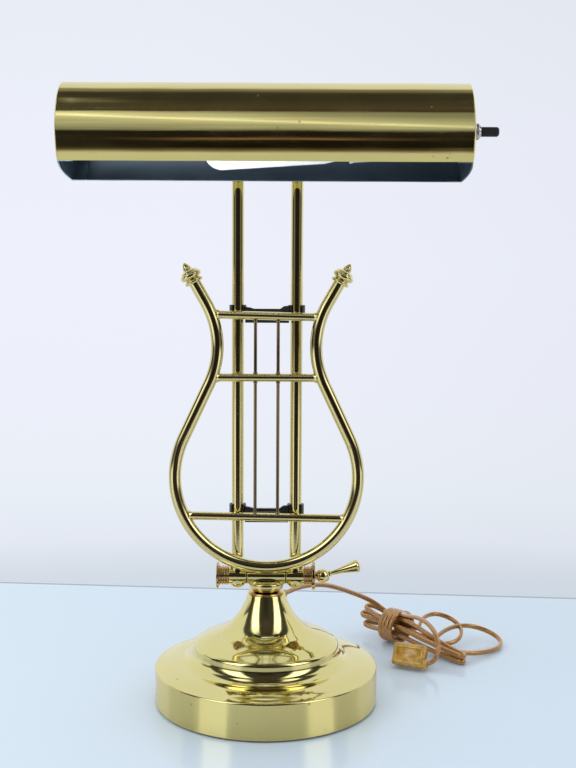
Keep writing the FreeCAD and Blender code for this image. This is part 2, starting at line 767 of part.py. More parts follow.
def make_shade_knuckle():
    """The barrel between the posts and the stub that carries the shade."""
    barrel = along_x(edge_eased(barrel_radius, -centre_half_length, centre_half_length), 0, shade_pivot_z)
    stub = rod(boss_radius, (0, 0, shade_pivot_z), (0, shade_back_y - 3, shade_pivot_z))
    flange = rod(boss_radius + 2.2, (0, shade_back_y + 4.0, shade_pivot_z),
                 (0, shade_back_y - 3, shade_pivot_z))
    hole = rod(nipple_radius + nipple_clearance, (0, -shade_nipple_root, shade_pivot_z),
               (0, shade_back_y - 4, shade_pivot_z))
    knuckle = barrel.fuse(stub).fuse(flange).removeSplitter()
    return knuckle.cut(shade_rod(shade_radius + seat_clearance)).cut(hole).cut(bolt_hole(shade_pivot_z))


def make_shade_fixing():
    """The nipple, the curved saddle, the nut and the strap that carries the lamp holder."""
    hole = nipple_radius + nipple_clearance
    clear = rod(hole, (0, 0, shade_pivot_z), (0, shade_nut_front_y - 5, shade_pivot_z))
    saddle = rod(shade_saddle_radius, (0, saddle_front_y, shade_pivot_z),
                 (0, shade_back_y, shade_pivot_z))
    saddle = saddle.common(shade_rod(shade_radius - shade_wall - seat_clearance, 20))
    strap_low = shade_pivot_z - strap_width / 2
    strap_high = shade_pivot_z + strap_width / 2
    strap = box((strap_left, holder_back_x + strap_thickness), (strap_front_y, saddle_front_y),
                (strap_low, strap_high))
    plate = box((holder_back_x, holder_back_x + strap_thickness),
                (shade_y - holder_plate_reach, saddle_front_y),
                (strap_low, strap_high))
    nut = hexagon(shade_nut_flats, nut_height, (0, shade_nut_front_y, shade_pivot_z), (0, 1, 0))
    return {
        "shade_nipple": tube(nipple_radius, nipple_bore, (0, -shade_nipple_root - 0.2, shade_pivot_z),
                             (0, shade_back_y - shade_nipple_end, shade_pivot_z)),
        "shade_saddle": saddle.cut(clear),
        "socket_strap": strap.fuse(plate).removeSplitter().cut(clear),
        "shade_nut": nut.cut(clear),
    }


# ---- shade ---------------------------------------------------------------------------------------

def on_shade_circle(radius, angle):
    """A point of the section; the angle is from straight down, positive to the player."""
    turn = math.radians(angle)
    return vec(-shade_half_length, shade_y - radius * math.sin(turn), shade_z - radius * math.cos(turn))


def make_shade_shell():
    front = mouth_tilt + mouth_half_angle
    back = mouth_tilt - mouth_half_angle
    middle = mouth_tilt + 180
    inner = shade_radius - shade_wall
    edges = [
        Part.Arc(on_shade_circle(shade_radius, front), on_shade_circle(shade_radius, middle),
                 on_shade_circle(shade_radius, back)),
        Part.LineSegment(on_shade_circle(shade_radius, back), on_shade_circle(inner, back)),
        Part.Arc(on_shade_circle(inner, back), on_shade_circle(inner, middle),
                 on_shade_circle(inner, front)),
        Part.LineSegment(on_shade_circle(inner, front), on_shade_circle(shade_radius, front)),
    ]
    section = Part.Face(Part.Wire([edge.toShape() for edge in edges]))
    shell = section.extrude(vec(2 * shade_half_length, 0, 0))
    return shell.cut(rod(nipple_radius + nipple_clearance, (0, 0, shade_pivot_z),
                         (0, shade_y, shade_pivot_z)))


def make_end_cap(side):
    """A domed disc cut off at the mouth, with a flange inside the shell."""
    flange_outer = shade_radius - shade_wall - cap_flange_gap
    flange_inner = flange_outer - cap_wall
    crown = cap_wall + cap_dome
    outline = [(0, crown), dome_middle(shade_radius, cap_wall, crown) + (shade_radius, cap_wall),
               (shade_radius, 0),
               (flange_outer, 0), (flange_outer, -cap_flange_length), (flange_inner, -cap_flange_length),
               (flange_inner, 0), dome_middle(flange_inner, 0, cap_dome) + (0, cap_dome)]
    cap = turned(outline, (side * shade_half_length, shade_y, shade_z), (side, 0, 0))
    depth = shade_radius * math.cos(math.radians(mouth_half_angle))
    mouth = Part.makeBox(4 * shade_half_length, 4 * shade_radius, 2 * shade_radius,
                         vec(-2 * shade_half_length, -2 * shade_radius, -depth - 2 * shade_radius))
    mouth.Placement = FreeCAD.Placement(vec(0, shade_y, shade_z), FreeCAD.Rotation(X_AXIS, -mouth_tilt))
    return cap.cut(mouth)


cap_apex_x = shade_half_length + cap_wall + cap_dome
washer_x = cap_apex_x + 0.05
switch_nut_x = washer_x + switch_washer_thickness
switch_bush_end = switch_nut_x + switch_nut_thickness - 0.6
knob_x = switch_nut_x + switch_nut_thickness + knob_gap


def make_switch():
    """The rotary switch: body and bush, nut and washer outside, and the knob."""
    body_end = shade_half_length - switch_body_setback
    body_start = body_end - switch_body_length
    flange = turned([(0, 0), (switch_body_radius - 2, 0), (switch_body_radius, 2),
                     (switch_body_radius, switch_body_length),
                     (switch_bush_radius + 1.5, switch_body_length),
                     (switch_bush_radius + 1.5, switch_body_length + 5.2),
                     (switch_bush_radius, switch_body_length + 5.2),
                     (switch_bush_radius, switch_bush_end - body_start),
                     (switch_shaft_radius, switch_bush_end - body_start),
                     (switch_shaft_radius, knob_x + switch_shaft_length - body_start),
                     (0, knob_x + switch_shaft_length - body_start)],
                    (body_start, shade_y, switch_z), (1, 0, 0))
    hole = rod(switch_bush_radius + 0.1, (cap_apex_x - 20, shade_y, switch_z),
               (knob_x + knob_length, shade_y, switch_z))
    washer = rod(switch_washer_radius, (washer_x, shade_y, switch_z),
                 (switch_nut_x, shade_y, switch_z)).cut(hole)
    nut = turned([(0, 0), (switch_nut_radius - 0.5, 0), (switch_nut_radius, 0.5),
                  (switch_nut_radius, switch_nut_thickness - 1.0),
                  (switch_nut_radius - 1.0, switch_nut_thickness), (0, switch_nut_thickness)],
                 (switch_nut_x, shade_y, switch_z), (1, 0, 0)).cut(hole)
    knob = turned([(0, 0), (knob_radius, 0), (knob_radius, knob_length - 1.3),
                   (knob_radius - 1.3, knob_length), (0, knob_length)],
                  (knob_x, shade_y, switch_z), (1, 0, 0))
    flutes = []
    for i in range(12):
        angle = math.radians(30 * i)
        y = shade_y + (knob_radius + 0.15) * math.cos(angle)
        z = switch_z + (knob_radius + 0.15) * math.sin(angle)
        flutes.append(rod(0.45, (knob_x + 1, y, z), (knob_x + knob_length + 1, y, z)))
    bore = rod(switch_shaft_radius + knob_bore_clearance, (knob_x - 1, shade_y, switch_z),
               (knob_x + switch_shaft_length + knob_bore_clearance, shade_y, switch_z))
    leads = []
    for side in (-1, 1):
        y = shade_y + side * lead_half_spacing
        leads.append(rod(lead_radius, (holder_back_x + strap_thickness, y, (switch_z + holder_z) / 2),
                         (body_start, y, (switch_z + holder_z) / 2)))
    return {
        "switch_body": flange,
        "switch_nut": Part.makeCompound([washer, nut]),
        "switch_knob": knob.cut(Part.makeCompound(flutes)).cut(bore),
        "socket_leads": Part.makeCompound(leads),
    }


def make_lamp():
    """The lamp holder on its strap, and the tubular bulb screwed into it."""
    droop = math.radians(bulb_droop)
    direction = (-math.cos(droop), 0, -math.sin(droop))
    origin = (holder_back_x - 1.2, shade_y, holder_z)
    room = 2 * holder_radius
    flat = box((holder_back_x, holder_back_x + room), (shade_y - room, shade_y + room),
               (holder_z - room, holder_z + room))
    base_low = holder_length - bulb_base_length
    holder_floor = base_low - bulb_contact_length
    holder = turned([(0, -2), (holder_radius - 3, -2), (holder_radius - 3, 8), (holder_radius, 12),
                     (holder_radius, holder_length),
                     (holder_bore, holder_length), (holder_bore, holder_floor), (0, holder_floor)],
                     origin, direction).cut(flat)
    base = turned([(0, holder_floor), (4.6, holder_floor), (4.6, base_low - 1.4), (9.0, base_low),
                   (bulb_base_radius, base_low + 2),
                   (bulb_base_radius, holder_length + bulb_base_gap),
                   (0, holder_length + bulb_base_gap)], origin, direction)
    glass_low = holder_length + bulb_base_gap
    glass_end = glass_low + bulb_glass_length
    glass = turned([(0, glass_low), (bulb_neck_radius, glass_low), (bulb_neck_radius, glass_low + 4),
                    (bulb_radius, glass_low + 4 + bulb_shoulder_length),
                    (bulb_radius, glass_end - bulb_radius),
                    dome_middle(bulb_radius, glass_end - bulb_radius, glass_end) + (0, glass_end)],
                   origin, direction)
    return {"lamp_holder": holder, "bulb_base": base, "bulb_globe": glass}


# ---- cord and plug -------------------------------------------------------------------------------

def make_hank():
    """The folded bundle as one closed solid: its outline turned, cut flat by the table."""
    run = vec(*hank_right) - vec(*hank_left)
    bundle = turned([(0, 0)] + hank_outline + [(0, hank_outline[-1][1])], hank_left, tuple(run))
    low_x = min(hank_left[0], hank_right[0]) - run.Length
    low_y = min(hank_left[1], hank_right[1]) - run.Length
    table = Part.makeBox(3 * run.Length, 3 * run.Length, run.Length,
                         vec(low_x, low_y, hank_floor_clearance - run.Length))
    return bundle.cut(table)


def plug_placement():
    lean = math.radians(plug_lean)
    middle = plug_height / 2 * math.cos(lean) + plug_thickness / 2 * math.sin(lean)
    turn = FreeCAD.Rotation(Z_AXIS, plug_turn).multiply(FreeCAD.Rotation(X_AXIS, -plug_lean))
    return FreeCAD.Placement(vec(plug_centre[0], plug_centre[1], middle + 0.2), turn)


def make_plug():
    """A flat moulded plug: the cord leaves its right end, the blades its far face, side by side."""
    half = (plug_length / 2, plug_thickness / 2, plug_height / 2)
    body = box((-half[0], half[0]), (-half[1], half[1]), (-half[2], half[2]))
    body = body.makeFillet(plug_corner, body.Edges)
    collar = turned([(0, half[0] - 2), (plug_collar_radius + 1, half[0] - 2),
                     (plug_collar_radius, half[0] + plug_collar_length),
                     (0, half[0] + plug_collar_length)],
                    (0, 0, plug_exit_height), (1, 0, 0))
    body = body.fuse(collar).removeSplitter()
    blades = []
    for side in (-1, 1):
        x = side * blade_spacing / 2
        blade = box((x - blade_thickness / 2, x + blade_thickness / 2),
                    (half[1] - blade_root, half[1] + blade_length), (-blade_width / 2, blade_width / 2))
        blades.append(blade)
    pins = Part.makeCompound(blades)
    body = body.cut(pins)
    body.Placement = plug_placement()
    pins.Placement = plug_placement()
    return {"plug_body": body, "plug_blades": pins}


def make_cord():
    plug = make_plug()
    hank = make_hank()
    small = cord_tube(small_loop_route, "small loop").cut(hank)
    large = cord_tube(large_loop_route, "large loop").cut(hank)
    end = cord_tube(end_route, "plug end").cut(hank).cut(plug["plug_body"])
    return {
        "cord_lead": cord_tube([exit_point(bushing_end)] + lead_route, "lead").cut(hank),
        "cord_hank": hank,
        "cord_loops": Part.makeCompound([small, large]),
        "cord_end": end,
        **plug,
    }


def main():
    parts = {
        "base_shell": make_base_shell(),
        "neck_collar": make_neck_collar(),
        "cord_bushing": make_cord_bushing(),
        "centre_knuckle": make_centre_knuckle(),
        "shade_knuckle": make_shade_knuckle(),
        "shade_shell": make_shade_shell(),
        "upper_clip": make_clip(top_bar_z, top_bar_rise),
        "lower_clip": make_clip(bottom_bar_z, bottom_bar_rise),
        "clip_screws": make_clip_screws(),
    }
    switch_hole = rod(switch_bush_radius + switch_hole_clearance, (0, shade_y, switch_z),
                      (2 * shade_half_length, shade_y, switch_z))
    for name, side in SIDES:
        parts[name + "_knuckle"] = make_knuckle(side, pivot_z, 1)
        parts[name + "_top_knuckle"] = make_knuckle(side, shade_pivot_z, -1)
        parts[name + "_end_cap"] = make_end_cap(side).cut(switch_hole)
    for group in (make_base_inside(), make_lower_pivot(), make_lever(), make_posts(), make_lyre(),
                  make_upper_pivot(),
                  make_shade_fixing(), make_switch(), make_lamp(), make_cord()):
        parts.update(group)
    os.makedirs("parts", exist_ok=True)
    for name, shape in parts.items():
        if not shape.isValid() or not shape.Solids:
            print("not valid:", name)
        shape.exportStep(os.path.join("parts", name + ".step"))
    print(len(parts), "nodes,", sum(len(shape.Solids) for shape in parts.values()), "solids")


main()
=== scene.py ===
"""Looks of the piano lamp: every visible piece, its finish, the cord and the studio.

Sizes are millimetres in the classes and metres in the scene.  +Z is up, +X runs along the
shade towards its switch, and -Y points at the player.
"""

import json
import logging
import math
from dataclasses import dataclass, field
from enum import Enum
from typing import Callable, Iterable, Optional, Sequence, Union

import bmesh
import bpy
import numpy as np
from mathutils import Matrix, Vector

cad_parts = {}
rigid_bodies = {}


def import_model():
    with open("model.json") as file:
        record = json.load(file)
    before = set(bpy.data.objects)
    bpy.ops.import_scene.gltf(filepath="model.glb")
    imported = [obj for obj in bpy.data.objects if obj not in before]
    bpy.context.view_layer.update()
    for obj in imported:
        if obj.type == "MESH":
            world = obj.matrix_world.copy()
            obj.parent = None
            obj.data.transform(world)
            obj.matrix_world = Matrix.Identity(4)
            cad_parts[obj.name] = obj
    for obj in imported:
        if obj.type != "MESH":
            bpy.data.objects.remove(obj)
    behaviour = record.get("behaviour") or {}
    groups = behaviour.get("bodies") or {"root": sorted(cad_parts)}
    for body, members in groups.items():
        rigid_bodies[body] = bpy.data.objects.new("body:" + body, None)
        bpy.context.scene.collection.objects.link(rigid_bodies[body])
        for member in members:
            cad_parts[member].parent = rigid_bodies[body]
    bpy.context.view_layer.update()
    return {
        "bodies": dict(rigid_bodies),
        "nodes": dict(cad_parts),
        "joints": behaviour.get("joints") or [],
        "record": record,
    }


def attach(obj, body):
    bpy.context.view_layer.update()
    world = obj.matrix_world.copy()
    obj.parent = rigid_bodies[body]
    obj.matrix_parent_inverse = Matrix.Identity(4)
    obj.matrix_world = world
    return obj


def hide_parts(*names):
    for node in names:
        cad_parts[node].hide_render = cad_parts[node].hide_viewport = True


LOG = logging.getLogger("piano_lamp")
MM = 0.001
X_AXIS = (1.0, 0.0, 0.0)
Y_AXIS = (0.0, 1.0, 0.0)
Z_AXIS = (0.0, 0.0, 1.0)
UPRIGHT = Matrix(((1, 0, 0), (0, 0, 1), (0, 1, 0)))  # stands a flat outline up, pushed along +Y
SIDES = (("left", -1), ("right", 1))

Point = Sequence[float]
Outline = list[tuple[float, ...]]
Socket = Union[bpy.types.NodeSocket, float, tuple]


class Body(str, Enum):
    """The rigid bodies that pieces ride on."""

    BASE = "base"
    LEVER = "lever"
    ARM = "arm"
    SHADE = "shade"
    KNOB = "knob"


# ---- node trees -----------------------------------------------------------------------------


class Tree:
    """Short calls for building a node tree."""

    def __init__(self, tree: bpy.types.NodeTree) -> None:
        """Keeps the tree that the nodes go into.

        Args:
            tree: a shader or geometry node tree.
        """
        self.tree = tree

    def add(self, kind: str, props: Optional[dict] = None, **inputs: Socket) -> bpy.types.Node:
        """Adds a node.

        Args:
            kind: the node's type name.
            props: settings of the node itself.
            inputs: values or sockets by input name, with underscores for spaces, or i0, i1
                and so on for an input by its place.

        Returns:
            The new node.
        """
        node = self.tree.nodes.new(kind)
        for name, value in (props or {}).items():
            setattr(node, name, value)
        self.give(node, **inputs)
        return node

    def give(self, node: bpy.types.Node, **inputs: Socket) -> None:
        """Sets or links inputs of a node.

        Args:
            node: the node.
            inputs: values or sockets, named as for add.
        """
        for name, value in inputs.items():
            self.feed(node, name, value)

    def feed(self, node: bpy.types.Node, name: str, value: Socket) -> None:
        """Sets or links one input of a node.

        Args:
            node: the node.
            name: the input's name with underscores for spaces, or i and its place.
            value: a number, a tuple or an output socket.
        """
        if name[0] == "i" and name[1:].isdigit():
            socket = node.inputs[int(name[1:])]
        else:
            socket = node.inputs[name.replace("_", " ")]
        if isinstance(value, bpy.types.NodeSocket):
            self.tree.links.new(value, socket)
        else:
            socket.default_value = value

    def maths(self, operation: str, a: Socket, b: Socket = 0.0, clamp: bool = False) -> bpy.types.NodeSocket:
        """One Math node.

        Args:
            operation: the node's operation.
            a: first value.
            b: second value.
            clamp: whether the result stays between 0 and 1.

        Returns:
            The result's socket.
        """
        return self.add("ShaderNodeMath", {"operation": operation, "use_clamp": clamp}, i0=a, i1=b).outputs[0]

    def times(self, a: Socket, b: Socket) -> bpy.types.NodeSocket:
        """The product of two values."""
        return self.maths("MULTIPLY", a, b)

    def plus(self, a: Socket, b: Socket) -> bpy.types.NodeSocket:
        """The sum of two values."""
        return self.maths("ADD", a, b)

    def place(self) -> bpy.types.NodeSocket:
        """Where the surface is, in the piece's own metres."""
        return self.add("ShaderNodeTexCoord").outputs["Object"]

    def split(self, vector: Socket) -> list[bpy.types.NodeSocket]:
        """The three parts of a vector."""
        return list(self.add("ShaderNodeSeparateXYZ", None, i0=vector).outputs)

    def bump(self, height: Socket, strength: float, distance: float) -> bpy.types.NodeSocket:
        """The normal that a height gives.

        Args:
            height: the relief.
            strength: how much of it shows.
            distance: its depth in metres.

        Returns:
            The normal's socket.
        """
        return self.add("ShaderNodeBump", None, Strength=strength, Distance=distance,
                        Height=height).outputs[0]

    def output(self, kind: str, shader: bpy.types.Node) -> None:
        """Ends the tree.

        Args:
            kind: the output node's type name.
            shader: what goes into it.
        """
        self.add(kind, None, i0=shader.outputs[0])

    def remap(self, value: Socket, low: float, high: float, out_low: float = 0.0,
              out_high: float = 1.0) -> bpy.types.NodeSocket:
        """A clamped Map Range from low..high to out_low..out_high.

        Args:
            value: the value to map.
            low: where the result is out_low.
            high: where the result is out_high.
            out_low: result at low.
            out_high: result at high.

        Returns:
            The result's socket.
        """
        node = self.add("ShaderNodeMapRange", None, Value=value, From_Min=low, From_Max=high, To_Min=out_low,
                        To_Max=out_high)
        return node.outputs[0]

    def blend(self, factor: Socket, a: Socket, b: Socket, kind: str = "MIX") -> bpy.types.NodeSocket:
        """A colour mix.

        Args:
            factor: share of the second colour.
            a: first colour.
            b: second colour.
            kind: the blend type.

        Returns:
            The colour's socket.
        """
        mode = {"data_type": "RGBA", "blend_type": kind}
        return self.add("ShaderNodeMix", mode, i0=factor, i6=a, i7=b).outputs[2]

    def ramp(self, value: Socket, stops: Iterable[tuple[float, Socket]]) -> bpy.types.NodeSocket:
        """A colour ramp.

        Args:
            value: the value that is looked up.
            stops: pairs of place and colour, or grey level.

        Returns:
            The colour's socket.
        """
        node = self.add("ShaderNodeValToRGB", None, i0=value)
        stops = list(stops)
        while len(node.color_ramp.elements) < len(stops):
            node.color_ramp.elements.new(0.5)
        for element, (place, colour) in zip(node.color_ramp.elements, stops):
            element.position = place
            element.color = (*colour, 1.0) if isinstance(colour, tuple) else (colour, colour, colour, 1.0)
        return node.outputs[0]

    def degree_ramp(self, value: Socket, half: float,
                    stops: Iterable[tuple[float, Socket]]) -> bpy.types.NodeSocket:
        """A colour ramp over an angle.

        Args:
            value: the angle in degrees.
            half: the angle runs from minus this to this.
            stops: pairs of angle and colour, or grey level.

        Returns:
            The colour's socket.
        """
        places = [((angle + half) / (2 * half), colour) for angle, colour in stops]
        return self.ramp(self.remap(value, -half, half), places)

    def noise(self, vector: Socket, scale: float, detail: float = 3.0,
              roughness: float = 0.5) -> bpy.types.NodeSocket:
        """A noise texture's value.

        Args:
            vector: where the noise is read.
            scale: its frequency.
            detail: its octaves.
            roughness: how strong the fine octaves are.

        Returns:
            The value's socket.
        """
        return self.add("ShaderNodeTexNoise", None, Vector=vector, Scale=scale, Detail=detail,
                        Roughness=roughness).outputs[0]

    def mapped(self, vector: Socket, scale: tuple, turn: tuple = (0, 0, 0)) -> bpy.types.NodeSocket:
        """A Mapping node's vector.

        Args:
            vector: the coordinates.
            scale: scale along each axis.
            turn: rotation in degrees.

        Returns:
            The vector's socket.
        """
        radians = tuple(math.radians(a) for a in turn)
        return self.add("ShaderNodeMapping", None, Vector=vector, Rotation=radians, Scale=scale).outputs[0]


def shader_group(name: str, inputs: dict[str, float], outputs: Iterable[str],
                 fill: Callable[[Tree, dict], dict]) -> bpy.types.NodeTree:
    """Builds a shader node group once.

    Args:
        name: the group's name.
        inputs: its float inputs and their defaults.
        outputs: its float outputs.
        fill: makes the nodes from the tree and the input sockets, and gives the output sockets.

    Returns:
        The group's tree.
    """
    known = bpy.data.node_groups.get(name)
    if known:
        return known
    tree = bpy.data.node_groups.new(name, "ShaderNodeTree")
    for key, value in inputs.items():
        tree.interface.new_socket(key, in_out="INPUT", socket_type="NodeSocketFloat").default_value = value
    for key in outputs:
        tree.interface.new_socket(key, in_out="OUTPUT", socket_type="NodeSocketFloat")
    build = Tree(tree)
    source = build.add("NodeGroupInput")
    sink = build.add("NodeGroupOutput")
    for key, socket in fill(build, {k: source.outputs[k] for k in inputs}).items():
        tree.links.new(socket, sink.inputs[key])
    return tree


def handling_group() -> bpy.types.NodeTree:
    """The marks of handling and age: smudges, hairline scratches and dark spots.

    Returns:
        The group's tree.
    """
    def fill(t: Tree, given: dict) -> dict:
        """Makes the nodes of the group."""
        place = t.place()
        broad = t.noise(place, 26.0, 4.0, 0.55)
        smudge = t.times(t.remap(broad, 0.45, 0.72), given["Smudges"])
        lines = []
        for turn, scale in (((20, 35, 0), (60, 2600, 900)), ((70, -20, 50), (90, 1900, 2400))):
            streak = t.noise(t.mapped(place, scale, turn), 1.0, 1.0, 0.4)
            lines.append(t.remap(streak, 0.735, 0.80))
        patch = t.remap(t.noise(place, 60.0, 2.0), 0.5, 0.62)
        hair = t.times(t.times(t.maths("MAXIMUM", lines[0], lines[1]), patch), given["Scratches"])
        cells = t.add("ShaderNodeTexVoronoi", None, Vector=place, Scale=95.0, Randomness=1.0)
        gate = t.remap(t.noise(place, 41.0, 2.0), 0.56, 0.66)
        spot = t.times(t.remap(cells.outputs["Distance"], 0.16, 0.07), gate)
        spot = t.times(spot, given["Spots"])
        height = t.times(t.plus(hair, spot), -1.0)
        return {"Smudge": smudge, "Scratch": hair, "Spot": spot, "Height": height}

    return shader_group("handling marks", {"Smudges": 1.0, "Scratches": 1.0, "Spots": 1.0},
                        ("Smudge", "Scratch", "Spot", "Height"), fill)


def grain_group() -> bpy.types.NodeTree:
    """A fine even grain for moulded, cast, painted and felted surfaces.

    Returns:
        The group's tree.
    """
    def fill(t: Tree, given: dict) -> dict:
        """Makes the nodes of the group."""
        place = t.place()
        fine = t.add("ShaderNodeTexNoise", None, Vector=place, Scale=given["Scale"], Detail=4.0).outputs[0]
        cloud = t.noise(place, 22.0, 3.0)
        return {"Grain": fine, "Cloud": cloud}

    return shader_group("moulded grain", {"Scale": 900.0}, ("Grain", "Cloud"), fill)


def blank_material(name: str) -> tuple[bpy.types.Material, Tree]:
    """A material with an empty tree.

    Args:
        name: its name.

    Returns:
        The material and its tree.
    """
    made = bpy.data.materials.new(name)
    made.use_nodes = True
    made.node_tree.nodes.clear()
    return made, Tree(made.node_tree)


@dataclass(frozen=True)
class Finish:
    """A surface: what all finishes share."""

    name: str
    colour: tuple[float, float, float]
    rough: float = 0.4

    def material(self) -> bpy.types.Material:
        """The material, built once.

        Returns:
            The material of this finish.
        """
        known = bpy.data.materials.get(self.name)
        if known:
            return known
        made, tree = blank_material(self.name)
        surface = tree.add("ShaderNodeBsdfPrincipled", None, Roughness=self.rough)
        self.dress(tree, surface)
        tree.output("ShaderNodeOutputMaterial", surface)
        return made

    def dress(self, tree: Tree, surface: bpy.types.Node) -> None:
        """Feeds the shader; each finish has its own way.

        Args:
            tree: the material's tree.
            surface: its Principled BSDF.
        """
        raise NotImplementedError

    def put_on(self, *pieces: bpy.types.Object) -> None:
        """Makes this the only finish of the pieces.

        Args:
            pieces: mesh objects.
        """
        for piece in pieces:
            piece.data.materials.clear()
            piece.data.materials.append(self.material())


@dataclass(frozen=True)
class PolishedBrass(Finish):
    """Lacquered brass with handling marks; streaks run along X on rolled sheet."""

    dark: tuple[float, float, float] = (0.50, 0.34, 0.08)
    coat: float = 0.3
    smudges: float = 0.6
    scratches: float = 0.5
    spots: float = 0.6
    rolled: float = 0.0
    bump: float = 0.03

    def dress(self, tree: Tree, surface: bpy.types.Node) -> None:
        """Colour, gloss and marks of the brass.

        Args:
            tree: the material's tree.
            surface: its Principled BSDF.
        """
        marks = tree.add("ShaderNodeGroup", {"node_tree": handling_group()}, Smudges=self.smudges,
                         Scratches=self.scratches, Spots=self.spots)
        place = tree.place()
        tone = tree.remap(tree.noise(place, 9.0, 2.0), 0.35, 0.7, 0.0, 0.16)
        worn = tree.blend(tone, (*self.colour, 1), (*self.dark, 1))
        age = tree.maths("ADD", tree.times(marks.outputs["Spot"], 0.85),
                         tree.times(marks.outputs["Scratch"], 0.25), True)
        rough = tree.plus(tree.times(marks.outputs["Smudge"], 0.09), self.rough)
        rough = tree.plus(tree.times(marks.outputs["Spot"], 0.4), rough)
        height = marks.outputs["Height"]
        if self.rolled:
            lines = tree.noise(tree.mapped(place, (5, 420, 420)), 1.0, 3.0, 0.65)
            fine = tree.noise(tree.mapped(place, (12, 1900, 1900)), 1.0, 2.0, 0.5)
            rough = tree.plus(tree.remap(lines, 0.4, 0.75, 0.0, 0.10 * self.rolled), rough)
            relief = tree.times(tree.plus(lines, tree.times(fine, 0.3)), self.rolled)
            height = tree.plus(relief, height)
        tree.give(surface, Base_Color=tree.blend(age, worn, (0.16, 0.10, 0.03, 1)), Roughness=rough,
                  Metallic=1.0, Coat_Weight=self.coat, Coat_Roughness=0.04,
                  Normal=tree.bump(height, self.bump, 0.0004))


@dataclass(frozen=True)
class PlainMetal(Finish):
    """Plated, stamped or cast metal with a fine grain."""

    grain: float = 0.1
    scale: float = 900.0
    spread: float = 0.15

    def dress(self, tree: Tree, surface: bpy.types.Node) -> None:
        """Colour and grain of the metal.

        Args:
            tree: the material's tree.
            surface: its Principled BSDF.
        """
        grain = tree.add("ShaderNodeGroup", {"node_tree": grain_group()}, Scale=self.scale)
        dull = tuple(c * 0.55 for c in self.colour)
        factor = tree.remap(grain.outputs["Cloud"], 0.4, 0.75, 0.0, 0.6)
        rough = tree.remap(grain.outputs["Cloud"], 0.3, 0.7, self.rough, self.rough + self.spread)
        tree.give(surface, Base_Color=tree.blend(factor, (*self.colour, 1), (*dull, 1)), Roughness=rough,
                  Metallic=1.0, Normal=tree.bump(grain.outputs["Grain"], self.grain, 0.0002))


@dataclass(frozen=True)
class Moulding(Finish):
    """Moulded plastic, glazed or painted surfaces, and felt."""

    tint: tuple[float, float, float] = (0.05, 0.05, 0.05)
    grain: float = 0.1
    scale: float = 1200.0
    coat: float = 0.0
    specular: float = 0.5
    sheen: float = 0.0

    def dress(self, tree: Tree, surface: bpy.types.Node) -> None:
        """Colour, grain and gloss.

        Args:
            tree: the material's tree.
            surface: its Principled BSDF.
        """
        grain = tree.add("ShaderNodeGroup", {"node_tree": grain_group()}, Scale=self.scale)
        mottle = tree.remap(grain.outputs["Cloud"], 0.35, 0.7)
        rough = tree.remap(grain.outputs["Grain"], 0.3, 0.7, self.rough - 0.05, self.rough + 0.08)
        tree.give(surface, Base_Color=tree.blend(mottle, (*self.colour, 1), (*self.tint, 1)), Roughness=rough,
                  Coat_Weight=self.coat, Specular_IOR_Level=self.specular, Sheen_Weight=self.sheen,
                  Normal=tree.bump(grain.outputs["Grain"], self.grain, 0.0003))


@dataclass(frozen=True)
class FrostedGlass(Finish):
    """The bulb's glass, frosted white inside."""

    def dress(self, tree: Tree, surface: bpy.types.Node) -> None:
        """A milky body under smooth glass.

        Args:
            tree: the material's tree.
            surface: its Principled BSDF.
        """
        place = tree.place()
        cloud = tree.remap(tree.noise(place, 60.0, 3.0), 0.35, 0.7)
        tree.give(surface, Base_Color=tree.blend(cloud, (*self.colour, 1), (0.80, 0.83, 0.86, 1)),
                  Roughness=tree.remap(cloud, 0.0, 1.0, self.rough, self.rough + 0.1), Coat_Weight=0.6,
                  Coat_Roughness=0.03, Subsurface_Weight=0.35, Subsurface_Radius=(0.01, 0.01, 0.01))


@dataclass(frozen=True)
class TwinFlex(Finish):
    """Clear gold flex: the twisted strands of both cores show through the insulation."""

    core: tuple[float, float, float] = (0.19, 0.062, 0.013)
    pitch: float = 900.0
    strands: float = 75.4
    web: tuple[float, float, float] = (0.13, 0.055, 0.014)

    def dress(self, tree: Tree, surface: bpy.types.Node) -> None:
        """Strands from the piece's UV map: u runs round the flex and v along it in metres.

        Args:
            tree: the material's tree.
            surface: its Principled BSDF.
        """
        flat = tree.add("ShaderNodeUVMap", {"uv_map": "flex"}).outputs[0]
        round_it, along = tree.split(flat)[:2]
        phase = tree.plus(tree.times(round_it, self.strands), tree.times(along, self.pitch))
        strand = tree.maths("SINE", phase)
        lobe = tree.maths("ABSOLUTE", tree.maths("SINE", tree.times(round_it, 2 * math.pi)))
        shade = tree.remap(strand, -1.0, 1.0)
        copper = tree.blend(shade, (*self.core, 1), (*self.colour, 1))
        patchy = tree.remap(tree.noise(tree.mapped(flat, (6, 45, 1)), 1.0, 3.0), 0.35, 0.7)
        copper = tree.blend(tree.times(patchy, 0.5), copper, (*[c * 0.55 for c in self.colour], 1))
        amber = tree.blend(tree.remap(lobe, 0.0, 0.55, 0.75, 0.0), copper, (*self.web, 1))
        tree.give(surface, Base_Color=amber,
                  Roughness=tree.remap(strand, -1.0, 1.0, self.rough, self.rough + 0.12),
                  Metallic=tree.remap(lobe, 0.2, 0.9, 0.15, 0.8), Coat_Weight=1.0, Coat_Roughness=0.08,
                  Normal=tree.bump(strand, 0.15, 0.0002))


